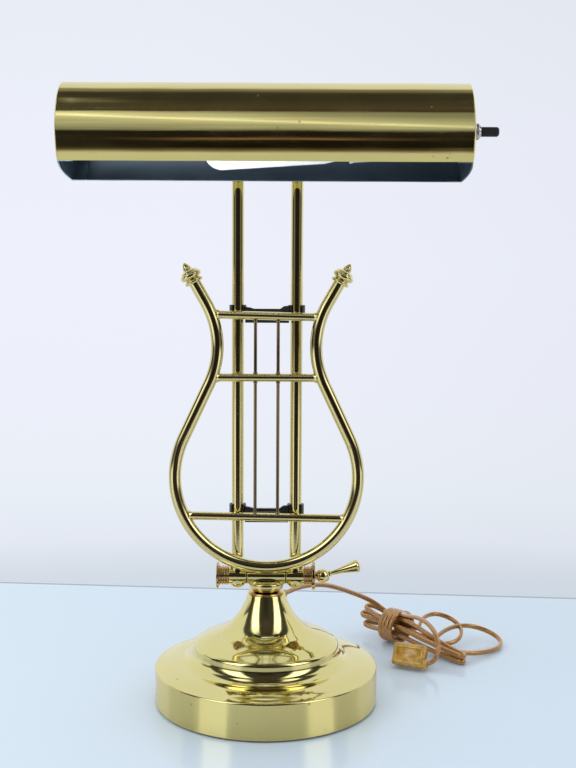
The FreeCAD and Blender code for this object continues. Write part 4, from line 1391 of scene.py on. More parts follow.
@dataclass
class Lyre:
    """The posts, the lyre and its bars, strings, finials and clips."""

    plane_y: float = -14.4
    tube: float = 6.0
    bowl: float = 88.0
    bowl_z: float = 224.0
    waist_half: float = 47.0
    waist_z: float = 349.8
    waist: float = 85.0
    lean: float = 29.5
    end_z: float = 410.0
    bars: tuple = (("top_bar", 379.0, 1.2), ("middle_bar", 320.2, 0.0), ("bottom_bar", 185.2, 1.2))
    bar: float = 4.0
    post_x: float = 28.2
    post: float = 5.9
    string_x: float = 10.8

    def half_width(self, z: float) -> float:
        """The centre line's distance from the middle at a height."""
        if z < self.bowl_z:
            return math.sqrt(self.bowl**2 - (z - self.bowl_z) ** 2)
        return self.waist_half + self.waist - math.sqrt(self.waist**2 - (z - self.waist_z) ** 2)

    def centre_line(self) -> list[tuple[float, float, float]]:
        """The lyre's line from the left arm's end round the bowl to the right.

        Returns:
            Points in millimetres.
        """
        across = self.waist_half + self.waist
        rise = self.waist_z - self.bowl_z
        flank = math.atan2(rise, across) - math.acos((self.bowl + self.waist) / math.hypot(across, rise))
        lean = math.radians(self.lean)

        def waist_point(angle: float) -> tuple[float, float]:
            """A point on the waist's arc."""
            return across - self.waist * math.cos(angle), self.waist_z + self.waist * math.sin(angle)

        def bowl_point(angle: float) -> tuple[float, float]:
            """A point on the bowl's arc."""
            return self.bowl * math.cos(angle), self.bowl_z + self.bowl * math.sin(angle)

        arm = waist_point(lean)
        end = (arm[0] + (self.end_z - arm[1]) * math.tan(lean), self.end_z)
        half = [end, arm] + arc_points(arm, waist_point((lean - flank) / 2), waist_point(-flank), 2.0)
        half += [bowl_point(flank)] + arc_points(bowl_point(flank), bowl_point(-math.pi / 4),
                                                 bowl_point(-math.pi / 2), 2.0)
        right = [(x, self.plane_y, z) for x, z in half]
        return [(-x, y, z) for x, y, z in right] + right[-2::-1]

    def build(self, shop: Workshop) -> None:
        """Builds and dresses the arm.

        Args:
            shop: shared tools.
        """
        line = self.centre_line()
        frame = shop.rod("lyre_frame", line, self.tube, BRASS, 40)
        shop.brass(frame, Body.ARM, None, "lyre_tube")
        for name, side in SIDES:
            x = side * self.post_x
            post = shop.rod(name + "_upright", [(x, 0, 130.05), (x, 0, 332.0), (x, 0, 533.95)], self.post,
                            BRASS, 48)
            shop.brass(post, Body.ARM, None, name + "_post")
        for name, z, rise in self.bars:
            self.make_bar(shop, name, z, rise)
        self.make_strings(shop)
        end = Vector(line[-1])
        lean = math.radians(self.lean)
        for name, side in SIDES:
            finial = self.finial(name + "_finial_knob", (side * end.x, end.y, end.z),
                                 (side * math.sin(lean), 0, math.cos(lean)))
            shop.brass(finial, Body.ARM, BRASS, name + "_finial")
        Clips(self).build(shop)
        shop.keep(LEAD, "post_wire")

    def make_bar(self, shop: Workshop, name: str, z: float, rise: float) -> None:
        """A crossbar with a small brazed fillet at each end.

        Args:
            shop: shared tools.
            name: the bar's solid.
            z: its height.
            rise: how much higher its left end sits.
        """
        half = self.half_width(z)
        start = Vector((-half, self.plane_y, z + rise))
        run = Vector((half, self.plane_y, z - rise)) - start
        full = run.length
        skin = self.tube - 0.7
        outline: Outline = [(0, skin - 2), (3.4, skin - 2, 0.0), (5.3, skin - 0.4, 0.4),
                            (4.5, skin + 1.0, 1.0), (self.bar, skin + 2.4, 1.5)]
        outline += [(r, full - h, *rest) for r, h, *rest in reversed(outline)]
        bar = turned(name + "_rod", outline, start, run, ease=0.0, segments=40)
        shop.brass(bar, Body.ARM, BRASS, name)

    def make_strings(self, shop: Workshop) -> None:
        """The two strings, each between small collars at the bars.

        Args:
            shop: shared tools.
        """
        strings = []
        for side in (-1, 1):
            x = side * self.string_x
            low, high = 187.2, 377.0
            outline: Outline = [(0, low), (1.6, low, 0.0)]
            for z in (189.4, 315.6, 324.8, 374.6):
                outline += [(1.6, z - 1.0, 0.4), (2.15, z - 0.45, 0.3), (2.15, z + 0.45, 0.3),
                            (1.6, z + 1.0, 0.4)]
            outline += [(1.6, high, 0.0), (0, high)]
            strings.append(turned(f"string_{side}", outline, (x, self.plane_y, 0), segments=24))
        shop.brass(joined("lyre_strings", strings), Body.ARM, STRING_BRASS, "strings")

    def finial(self, name: str, origin: Point, way: Point) -> bpy.types.Object:
        """A turned finial: ring, groove, bun and pointed button.

        Args:
            name: the piece's name.
            origin: the arm's end.
            way: the direction of the arm.

        Returns:
            The finial.
        """
        return turned(name, [
            (0, -4.0), (4.9, -4.0), (4.9, 0), (7.0, -0.4, 0.3), (9.2, 1.5, 7.6, 3.3), (6.9, 3.8, 0.3),
            (7.3, 4.4, 0.3), (10.4, 7.2, 9.0, 10.2), (7.4, 12.2, 4.9, 13.2), (4.3, 14.0, 0.6),
            (4.2, 14.8, 0.6), (3.2, 17.6, 1.5, 20.1), (0.8, 20.8, 0.4), (0, 21.0)], origin, way, ease=0.3,
            segments=64)


@dataclass
class Clips:
    """The black snap clips that hold the lyre to the posts, and their screws."""

    lyre: Lyre
    height: float = 17.0
    lift: float = 1.6
    bore: float = 6.6
    wall: float = 1.65
    mouth: float = 4.6
    bridge: tuple = (-6.6, -2.2)
    saddle_half: float = 15.0
    saddle_height: float = 8.5

    def ring_outline(self, x: float) -> list[tuple[float, float]]:
        """The C-shaped ring round a post, seen from above.

        Args:
            x: the post's place.

        Returns:
            The outline's points.
        """
        outer = self.bore + self.wall
        start = math.degrees(math.atan2(-math.sqrt(self.bore**2 - self.mouth**2), self.mouth))
        angles = [start + (180 - 2 * start) * i / 40 for i in range(41)]
        inside = [(x + self.bore * math.cos(math.radians(a)),
                   self.bore * math.sin(math.radians(a))) for a in angles]
        outside = [(x + outer * math.cos(math.radians(a)),
                    outer * math.sin(math.radians(a))) for a in reversed(angles)]
        return inside + outside

    def clip(self, name: str, bar_z: float, rise: float) -> bpy.types.Object:
        """One clip with raised ears at the posts and a lower bridge between them.

        Args:
            name: the piece's name.
            bar_z: height of its bar.
            rise: how much higher the bar's left end sits.

        Returns:
            The clip.
        """
        low = bar_z + self.lift - self.height / 2
        high = low + self.height
        post_x = self.lyre.post_x
        parts = [extruded("ring", self.ring_outline(side * post_x), bar_z - 3.4 - side * rise * 0.6,
                          high) for _, side in SIDES]
        inner = post_x - self.bore - 0.6
        drop = 3.6
        left_drop = 0.9 if rise else 0.0
        shape = [(-inner, low), (-inner, high - 0.8 - left_drop), (-inner + 5.0, high - 1.6 - left_drop),
                 (-inner + 8.5, high - drop), (inner - 8.5, high - drop), (inner - 5.0, high - 1.0),
                 (inner, high - 0.5), (inner, low)]
        parts.append(extruded("bridge", shape, self.bridge[0], self.bridge[1], turn=UPRIGHT))
        half, foot, top = self.saddle_half, bar_z - self.saddle_height / 2, bar_z + self.saddle_height / 2
        saddle = [(-half, foot), (-half, top), (half, top), (half, foot), (6, foot - 0.7), (-6, foot - 0.7)]
        parts.append(extruded("saddle", saddle, self.lyre.plane_y + 1.5, self.bridge[0] + 0.5, turn=UPRIGHT))
        clip = merged(name, parts)
        wide = 24.0
        groove = turned("groove", [(0, -wide), (4.05, -wide), (4.05, wide), (0, wide)],
                        (0, self.lyre.plane_y, bar_z), (2 * self.lyre.half_width(bar_z), 0, -2 * rise),
                        ease=0.0, segments=48)
        cut_away(clip, groove)
        return bevelled(clip, 0.4, 2, 40.0)

    def build(self, shop: Workshop) -> None:
        """Builds the clips and the screws behind them.

        Args:
            shop: shared tools.
        """
        places = []
        for name, bar, rise in (("upper_clip", 379.0, 1.2), ("lower_clip", 185.2, 1.2)):
            shop.place(self.clip(name + "_moulding", bar, rise), Body.ARM, "black_clip", BLACK_CLIP, name)
            places += [(side * 5.0, 0.0, bar) for _, side in SIDES]
        screw = turned("screw",
                       [(0, -14.4), (1.5, -14.4, 0.0), (1.5, -2.3, 0.0), (2.8, -2.2, 0.2), (2.8, -1.5, 0.3),
                                 (1.9, -0.7, 0.8), (0, -0.4)], (0, 0, 0), Y_AXIS, segments=32)
        slot = extruded("slot", [(-3.2, -0.3), (3.2, -0.3), (3.2, 0.3), (-3.2, 0.3)], -0.95, 0.5,
                        turn=UPRIGHT)
        cut_away(screw, slot)
        spots = mesh_object("clip_screw_set", metres(places), [], heal=False)
        screws = shop.scatter.run(spots, ZINC, Part=screw)
        bpy.data.objects.remove(screw)
        shop.place(screws, Body.ARM, "zinc_steel", None, "clip_screws")


# ---- shade ------------------------------------------------------------------------------------


@dataclass
class Shade:
    """The half-round shade, its end caps, the lamp inside it and the switch."""

    half: float = 177.0
    radius: float = 45.9
    wall: float = 0.8
    y: float = -66.6
    z: float = 539.8
    half_mouth: float = 45.75
    tilt: float = 9.75
    cap_wall: float = 1.0
    cap_dome: float = 6.0
    flange: float = 12.0
    holder_x: float = 116.8
    holder_z: float = 536.0
    droop: float = 3.7
    switch_z: float = 544.4

    def on_circle(self, radius: float, angle: float) -> tuple[float, float]:
        """A (y, z) point; the angle is from straight down, positive to the player."""
        turn = math.radians(angle)
        return self.y - radius * math.sin(turn), self.z - radius * math.cos(turn)

    def shell(self) -> bpy.types.Object:
        """The rolled sheet.

        Returns:
            The shell, brass outside and enamel inside.
        """
        front = self.tilt + self.half_mouth
        back = self.tilt - self.half_mouth + 360
        steps = 150
        angles = [front + (back - front) * i / steps for i in range(steps + 1)]
        outer = [self.on_circle(self.radius, a) for a in angles]
        inner = [self.on_circle(self.radius - self.wall, a) for a in reversed(angles)]
        section = outer + inner
        rings = 61
        places = [-self.half + 2 * self.half * i / (rings - 1) for i in range(rings)]
        verts = [self.dented(Vector((x, y, z))) * MM for x in places for y, z in section]
        shell = mesh_object("shade_sheet", verts, sleeve_faces(rings, len(section)), 40.0)
        ROLLED_BRASS.put_on(shell)
        shell.data.materials.append(ENAMEL.material())
        axis = Vector((0, self.y, self.z)) * MM
        for face in shell.data.polygons:
            away = face.center - axis
            away.x = 0
            lip = face.normal.z < -0.4 and away.y > 0 and abs(face.normal.dot(away.normalized())) < 0.4
            if lip or face.normal.dot(away.normalized()) < -0.5:
                face.material_index = 1
        return shell

    def dented(self, place: Vector) -> Vector:
        """The slight waves and dents of thin rolled sheet.

        Args:
            place: a point of the true cylinder.

        Returns:
            The moved point.
        """
        axis = Vector((place.x, self.y, self.z))
        away = (place - axis).normalized()
        turn = math.atan2(away.z, -away.y)
        wave = 0.05 * math.sin(place.x * 0.031 + 2.2 * turn)
        wave += 0.03 * math.sin(place.x * 0.083 - 3.1 * turn + 1.0)
        dents = ((166.0, -0.66, 0.30, 8.0, 0.16), (-176.0, 0.50, 0.22, 9.0, 0.22),
                 (-70.0, 1.15, 0.16, 14.0, 0.2))
        for x, angle, depth, wide, high in dents:
            wave -= depth * math.exp(-(((place.x - x) / wide) ** 2) - ((turn - angle) / high) ** 2)
        keep = min(1.0, (self.half - abs(place.x)) / 4.0)
        return place + away * wave * keep

    def end_cap(self, name: str, side: int) -> bpy.types.Object:
        """A domed end with a flange inside the sheet.

        Args:
            name: the piece's name.
            side: which end.

        Returns:
            The cap, brass outside and enamel inside.
        """
        r = self.radius
        crown = self.cap_wall + self.cap_dome
        inside = r - self.wall - 0.1
        ball = (r * r + self.cap_dome**2) / (2 * self.cap_dome)
        middle = r * 0.52
        outer_mid = (middle, self.cap_wall + math.sqrt(ball**2 - middle**2) - (ball - self.cap_dome))
        cap = turned(name, [
            (0, crown), outer_mid + (r - 0.6, self.cap_wall + 0.35), (r, 0.6, 0.3), (r, 0.0, 0.0),
            (inside, 0.0, 0.0), (inside, -self.flange, 0.2), (inside - 1.0, -self.flange, 0.2),
            (inside - 1.0, 0.4, 0.8), (middle, outer_mid[1] - 1.15, 0, self.cap_dome)],
            (side * self.half, self.y, self.z), (side, 0, 0), ease=0.0, segments=128)
        depth = r * math.cos(math.radians(self.half_mouth))
        turn = Matrix.Rotation(math.radians(-self.tilt), 3, "X")
        mouth = extruded("mouth", [(-400, -200), (400, -200), (400, 200), (-400, 200)], -depth - 200, -depth,
                         (0, self.y, self.z), turn)
        cut_away(cap, mouth)
        ROLLED_BRASS.put_on(cap)
        cap.data.materials.append(ENAMEL.material())
        for face in cap.data.polygons:
            centre = face.center / MM
            away = math.hypot(centre.y - self.y, centre.z - self.z)
            inward = face.normal.x * side < -0.2 or (away < r - 0.5 and abs(centre.x) < self.half + 1.0)
            if inward:
                face.material_index = 1
        return bevelled(cap, 0.2, 2, 50.0)

    def build(self, shop: Workshop) -> None:
        """Builds and dresses the shade.

        Args:
            shop: shared tools.
        """
        shop.brass(self.shell(), Body.SHADE, None, "shade_shell")
        for name, side in SIDES:
            shop.brass(self.end_cap(name + "_shade_end", side), Body.SHADE, None, name + "_end_cap")
        shop.keep(ZINC, "shade_nipple", "shade_saddle", "shade_nut", "socket_strap")
        shop.keep(LEAD, "socket_leads")
        shop.keep(BLACK_KNOB, "switch_body")
        self.lamp(shop)
        self.switch(shop)

    def lamp(self, shop: Workshop) -> None:
        """The holder and the tubular bulb.

        Args:
            shop: shared tools.
        """
        droop = math.radians(self.droop)
        way = (-math.cos(droop), 0, -math.sin(droop))
        origin = (self.holder_x, self.y, self.holder_z)
        holder = turned("lamp_cup", [
            (0, 1.4), (13.5, 1.4, 0.8), (13.5, 8), (16.5, 12, 1.0), (16.5, 40.5, 0.4), (17.1, 41.0, 0.3),
            (17.1, 43.3, 0.4), (16.2, 44.0, 0.4), (14.2, 44.0, 0.3), (14.2, 16.0), (0, 16.0)], origin, way,
            segments=72)
        shop.place(holder, Body.SHADE, "holder", HOLDER, "lamp_holder")
        thread: Outline = [(0, 16.0), (4.6, 16.0, 0.6), (4.6, 17.6), (9.0, 19.0, 0.5), (12.2, 21.0, 0.8)]
        for i in range(5):
            start = 22.5 + 3.6 * i
            thread += [(12.2, start, 0.9), (13.1, start + 1.0, 0.9), (13.1, start + 1.5, 0.9),
                       (12.2, start + 2.6, 0.9)]
        thread += [(12.6, 44.3), (0, 44.3)]
        base = turned("bulb_thread", thread, origin, way, ease=0.2, segments=64)
        shop.place(base, Body.SHADE, "bulb_screw", STAMPED_BRASS, "bulb_base")
        glass = turned("bulb_tube", [
            (0, 44.3), (13.0, 44.3, 0.4), (13.0, 49.0, 4.0), (14.6, 57.0, 8.0), (16.0, 66.0, 8.0),
            (16.0, 156.3, 0.0), (11.3, 167.6, 0, 172.3)], origin, way, segments=72)
        shop.place(glass, Body.SHADE, "bulb_glass", GLASS, "bulb_globe")

    def switch(self, shop: Workshop) -> None:
        """The switch's washer and nut, and the fluted knob that turns.

        Args:
            shop: shared tools.
        """
        z = self.switch_z
        washer = turned("washer", [(5.1, 0), (8.8, 0, 0.25), (8.8, 1.3, 0.4), (5.1, 1.3)],
                        (184.05, self.y, z), X_AXIS, closed=True, ease=0.1, segments=64)
        nut = turned("nut",
                     [(5.1, 0), (6.6, 0, 0.2), (7.0, 0.8, 0.4), (6.9, 2.4, 0.8), (6.0, 4.1, 1.0),
                      (5.6, 4.6, 0.3), (5.1, 4.6)], (185.35, self.y, z), X_AXIS, closed=True, ease=0.1,
                      segments=64)
        tooth = turned("tooth", [(0, 0.3), (0.42, 0.3), (0.42, 2.6, 0.3), (0, 3.0)], (185.35, 0, 0), X_AXIS,
                       segments=8)
        nut = shop.ring.run(nut, NICKEL, Part=tooth, Count=36, Radius=6.85 * MM,
                            Centre=tuple(Vector((0, self.y, z)) * MM))
        bpy.data.objects.remove(tooth)
        pair = joined("switch_nut_and_washer", [washer, nut])
        shop.place(pair, Body.SHADE, "nickel", NICKEL, "switch_nut")
        start = 190.25
        core = turned("fluted_knob", [(0, 0), (3.95, 0, 0.3), (3.95, 15.0, 0.3), (3.2, 15.9, 0.6), (0, 16.2)],
                      (start, self.y, z), X_AXIS, segments=72)
        rib = turned("rib", [(0, 0.4), (0.55, 0.4, 0.2), (0.55, 14.3, 0.2), (0.2, 15.0, 0.1), (0, 15.1)],
                     (start, 0, 0), X_AXIS, segments=12)
        knob = shop.ring.run(core, BLACK_KNOB, Part=rib, Count=18, Radius=3.75 * MM,
                             Centre=tuple(Vector((0, self.y, z)) * MM))
        bpy.data.objects.remove(rib)
        shop.place(knob, Body.KNOB, "black_plastic", None, "switch_knob")


# ---- cord -------------------------------------------------------------------------------------


@dataclass
class Cord:
    """The gold twin flex from the bushing through its folded, wrapped bundle to the plug."""

    width: float = 5.6
    length: float = 2.1
    exit: tuple = (18.0, 31.18, 97.0)
    lead: tuple = ((29, 50.2, 97), (45, 74, 94), (62, 99, 87), (78, 126, 75.5), (93, 151, 63.5),
                   (107, 171, 53), (120, 182, 43.5), (131, 186, 34))
    small_loop: tuple = ((168.5, 153.1, 20), (174.4, 170.2, 29), (189.2, 184.8, 30), (202.3, 186.4, 27),
                         (214.1, 180, 22.5), (219.7, 167.8, 17), (217.2, 154.8, 11.5), (207.2, 145.5, 8),
                         (194, 142.7, 7.5), (181.3, 143.1, 9.5))
    large_loop: tuple = ((183.5, 135.6, 14), (196.1, 152.9, 19), (211.8, 168.3, 20), (229, 181.6, 17),
                         (244.2, 183.5, 13), (257.5, 176.2, 9), (264, 162.4, 5.5), (261.1, 147.3, 3.6),
                         (246.4, 131.5, 3.4), (227.6, 119.3, 5), (206.5, 113.3, 8))
    tail: tuple = ((156, 139, 40.5), (165, 124, 43.5), (174, 108, 42), (180, 94, 36), (182, 83, 27),
                   (180, 76, 17), (173.8, 73.7, 9.4), (165.2, 76.6, 7.8))
    hank_start: tuple = (108.0, 206.0)
    hank_end: tuple = (212.0, 95.0)
    wrap_turns: float = 4.5
    wrap_pitch: float = 4.7
    core: float = 1.95

    def in_hank(self, s: float, t: float, z: float) -> tuple[float, float, float]:
        """A point s along the bundle, t to its far side, at height z."""
        a = Vector(self.hank_end) - Vector(self.hank_start)
        a.normalize()
        x = self.hank_start[0] + s * a.x - t * a.y
        y = self.hank_start[1] + s * a.y + t * a.x
        return x, y, z

    def wraps(self) -> list[tuple[float, float, float]]:
        """The turns round the bundle, from under its left side to its top.

        Returns:
            Control points in millimetres.
        """
        points = []
        count = int(self.wrap_turns * 14)
        for i in range(count + 1):
            turn = -math.pi / 2 + 2 * math.pi * i / 14
            s = 41.5 + self.wrap_pitch * i / 14
            swell = 1.0 + 0.03 * math.sin(1.7 * i)
            t = 17.8 * swell * math.cos(turn) + 0.08 * (s - 52)
            z = 20.6 + 17.4 * math.sin(turn)
            points.append(self.in_hank(s + 1.5 * math.sin(turn), t, max(z, 3.1)))
        return points

    def route(self) -> list[tuple[float, float, float]]:
        """All the control points, from the bushing to the plug.

        Returns:
            Points in millimetres.
        """
        h = self.in_hank
        first = [h(44, 1.5, 31.2), h(58, -0.5, 31), h(75, 2, 28), h(95, 4, 21), h(115, 4, 15.5),
                 h(135, 3.4, 11.5), h(149, 3.6, 10.2), h(152, -0.2, 10.0), h(149, -3.8, 10.2)]
        second = [h(135, -3.6, 11.5), h(115, -5, 14.5), h(95, -7, 18.5), h(75, -9, 22.5), h(58, -9, 24.5),
                  h(44, -8, 25.5), h(33, -6, 27.5), h(22, -4.4, 29.5), h(14, -3.4, 31.5), h(8.5, -3.0, 32.5),
                  h(7, 0.2, 33.2), h(8.6, 3.2, 34), h(15, 3.6, 34.2), h(24, 4.0, 33), h(34, 4.4, 31),
                  h(46, 4.5, 29.2), h(57, 6.2, 27.5), h(69, 8.4, 23.5)]
        third = [h(83, 9.6, 12), h(70, 10, 16), h(58, 9.8, 20), h(46, 8, 22), h(34, 6.2, 23.0),
                 h(20, 4.0, 24.0), h(9, 3.2, 24.6), h(2.4, 2.9, 24.6), h(0.8, 0, 23.8), h(2.4, -3.0, 22.6),
                 h(9, -3.4, 21.8), h(20, -3.6, 21.6), h(34, -3, 22.0), h(46, -2.5, 22.5), h(58, -2, 22),
                 h(72, -1, 20), h(88, 2.2, 17)]
        fourth = [h(122, 7, 8.6), h(108, 5.2, 10.4), h(92, 4.0, 12), h(75, 3.6, 15), h(58, 3.6, 18.6),
                  h(46, 3.6, 20), h(34, 3.6, 17.4), h(22, 3.4, 15.4), h(13, 3.2, 14.4), h(7.4, 2.9, 14),
                  h(5.6, 0, 13.2), h(7.2, -3.0, 12.2), h(13, -3.6, 11.6), h(22, -4.6, 11.8),
                  h(34, -6.4, 13.2), h(46, -7, 14.6), h(58, -7.4, 15), h(75, -7.4, 13), h(95, -6, 9.4),
                  h(115, -4.2, 6.4), h(135, -3.6, 4.6), h(148.6, -3.8, 4.2), h(151.4, 0, 4.1),
                  h(148.6, 3.6, 4.1)]
        fifth = [h(135, 3.2, 4.1), h(115, 1.2, 4.2), h(95, 0.6, 5.6), h(75, -0.4, 8), h(58, 0.6, 11.6),
                 h(46, 0.8, 12.2), h(40, -0.6, 8.6), h(35, -3.4, 4.4)]
        return [self.exit, *self.lead, *first, *second, *self.small_loop, *third, *self.large_loop, *fourth,
                *fifth, *self.wraps(), h(69, -6.5, 38.0), *self.tail]

    def centre_line(self) -> np.ndarray:
        """Points of the smooth spline through the route's control points.

        Returns:
            An array of places in metres.
        """
        curve = path_curve("cord_line", metres(self.route()), "NURBS")
        curve.data.resolution_u = 6
        line = apply_modifiers(curve)
        places = np.array([v.co for v in line.data.vertices])
        bpy.data.objects.remove(line)
        steps = np.linalg.norm(np.diff(places, axis=0), axis=1)
        return places[np.concatenate(([True], steps > 1e-6))]

    def frames(self, line: np.ndarray) -> tuple[np.ndarray, np.ndarray]:
        """The flex's wide and thin directions along the line.

        The flex turns with the least twist, and in bends its thin side gives way.

        Args:
            line: the centre line.

        Returns:
            Unit vectors of the wide and the thin direction at each point.
        """
        ahead = np.gradient(line, axis=0)
        ahead /= np.linalg.norm(ahead, axis=1)[:, None]
        bend = np.gradient(ahead, axis=0)
        step = np.linalg.norm(np.gradient(line, axis=0), axis=1)[:, None]
        bend /= step
        wide = np.zeros_like(line)
        current = np.array((0.0, 0.0, 1.0))
        for sweep in (0, 1):
            order = range(len(line)) if sweep == 0 else range(len(line) - 1, -1, -1)
            for i in order:
                side = np.cross(ahead[i], bend[i])
                strong = np.linalg.norm(side)
                if strong > 1e-9:
                    side /= strong
                    if side @ current < 0:
                        side = -side
                    pull = min(1.0, 0.0035 * strong * step[i, 0] * 1000 / 4)
                    current = current + pull * (side - current)
                current = current - ahead[i] * (ahead[i] @ current)
                current /= np.linalg.norm(current)
                wide[i] += current if sweep == 0 or wide[i] @ current > 0 else -current
        wide -= ahead * np.sum(ahead * wide, axis=1)[:, None]
        wide /= np.linalg.norm(wide, axis=1)[:, None]
        return wide, np.cross(ahead, wide)

    def section(self) -> list[tuple[float, float]]:
        """The twin flex's section: two round cores joined by a thin web.

        Returns:
            (wide, thin) for each point, in order round the section.
        """
        core = self.core
        points = []
        steps = 11
        for lobe in (1, -1):
            for i in range(steps):
                angle = math.radians(-118 + 236 * i / (steps - 1))
                wide = lobe * (self.width / 2 - core + core * math.cos(angle))
                thin = lobe * core * math.sin(angle)
                points.append((wide, thin))
        return points

    def build(self, shop: Workshop, plug: "Plug") -> None:
        """Args:
            shop: shared tools.
            plug: the plug on its end; not used.
        """
        line = self.centre_line()
        wide, thin = self.frames(line)
        section = self.section()
        count = len(section)
        verts = [p + (w * a + t * b) * MM for p, w, t in zip(line, wide, thin) for a, b in section]
        run = np.concatenate(([0.0], np.cumsum(np.linalg.norm(np.diff(line, axis=0), axis=1))))
        faces = [(i * count + j, i * count + (j + 1) % count, (i + 1) * count + (j + 1) % count,
                  (i + 1) * count + j)
                 for i in range(len(line) - 1) for j in range(count)]
        faces += [tuple(range(count)), tuple(range((len(line) - 1) * count, len(line) * count))]
        flex = mesh_object("gold_flex", verts, faces, 70.0, heal=False)
        work = bmesh.new()
        work.from_mesh(flex.data)
        bmesh.ops.recalc_face_normals(work, faces=work.faces)
        chart = work.loops.layers.uv.new("flex")
        for face in work.faces:
            columns = [loop.vert.index % count for loop in face.loops]
            wrap = max(columns) - min(columns) > count / 2
            for loop, column in zip(face.loops, columns):
                u = (column + count if wrap and column < count / 2 else column) / count
                loop[chart].uv = (u, run[loop.vert.index // count])
        work.to_mesh(flex.data)
        work.free()
        smooth(flex, 70.0)
        shop.place(flex, Body.BASE, "cord_gold", FLEX, "cord_lead", "cord_hank", "cord_loops", "cord_end")
        LOG.info("cord: %.3f m along its centre line", run[-1])


@dataclass
class Plug:
    """The flat amber plug and its two blades."""

    centre: tuple = (152.0, 86.0)
    long: float = 36.0
    high: float = 24.0
    thick: float = 13.0
    turn: float = -24.0
    lean: float = 28.0
    exit_height: float = -7.0
    pieces: list = field(default_factory=list)

    def build(self, shop: Workshop) -> None:
        """Builds and dresses the plug.

        Args:
            shop: shared tools.
        """
        lean = math.radians(self.lean)
        middle = self.high / 2 * math.cos(lean) + self.thick / 2 * math.sin(lean) + 0.2
        turn = Matrix.Rotation(math.radians(self.turn), 3, "Z") @ Matrix.Rotation(-lean, 3, "X")
        origin = Vector((*self.centre, middle))
        body = self.body(origin, turn)
        collar = turned("collar", [(0, 16), (5.4, 16), (5.4, 18.4, 0.6), (4.6, 20.4, 0.5), (0, 20.4)],
                        origin + turn @ Vector((0, 0, self.exit_height)), turn @ Vector(X_AXIS), segments=48)
        plug = merged("amber_plug", [body, collar])
        shop.place(plug, Body.BASE, "plug_amber", AMBER, "plug_body")
        blades = [self.blade(origin, turn, side * 12.7 / 2) for side in (-1, 1)]
        pair = joined("plug_blade_pair", blades)
        shop.place(pair, Body.BASE, "plug_brass", STAMPED_BRASS, "plug_blades")
        self.pieces = [plug, pair]

    def body(self, origin: Vector, turn: Matrix) -> bpy.types.Object:
        """The moulded body with a sunk panel on both faces.

        Args:
            origin: its centre in millimetres.
            turn: its axes.

        Returns:
            The body.
        """
        a, b, c = self.long / 2, self.thick / 2, self.high / 2
        block = extruded("block", [(-a, -b), (a, -b), (a, b), (-a, b)], -c, c, origin, turn)
        bevelled(block, 3.0, 5, 60.0)
        tools = []
        for face in (-1, 1):
            axes = turn @ UPRIGHT
            panel = extruded("panel", [(-a + 5, -c + 5), (a - 5, -c + 5), (a - 5, c - 5), (-a + 5, c - 5)],
                             face * b - 0.7, face * b + 0.7, origin, axes)
            tools.append(bevelled(panel, 0.5, 2, 60.0))
        return bevelled(cut_away(block, *tools), 0.25, 2, 50.0)

    def blade(self, origin: Vector, turn: Matrix, x: float) -> bpy.types.Object:
        """One blade with a chamfered tip and a hole, out of the far face.

        Args:
            origin: the plug's centre.
            turn: the plug's axes.
            x: its place along the plug.

        Returns:
            The blade.
        """
        start = self.thick / 2
        axes = turn @ Matrix(((0, 0, 1), (1, 0, 0), (0, 1, 0)))
        outline = [(start - 4, -3.2), (start + 14.4, -3.2), (start + 16, -1.9), (start + 16, 1.9),
                   (start + 14.4, 3.2), (start - 4, 3.2)]
        blade = extruded("blade", outline, x - 0.75, x + 0.75, origin, axes)
        bore = turned("bore", [(0, x - 2), (1.6, x - 2), (1.6, x + 2), (0, x + 2)],
                      origin + turn @ Vector((0, start + 12.2, 0)), turn @ Vector(X_AXIS), ease=0.0,
                      segments=24)
        return bevelled(cut_away(blade, bore), 0.2, 2, 50.0)


# ---- studio -----------------------------------------------------------------------------------


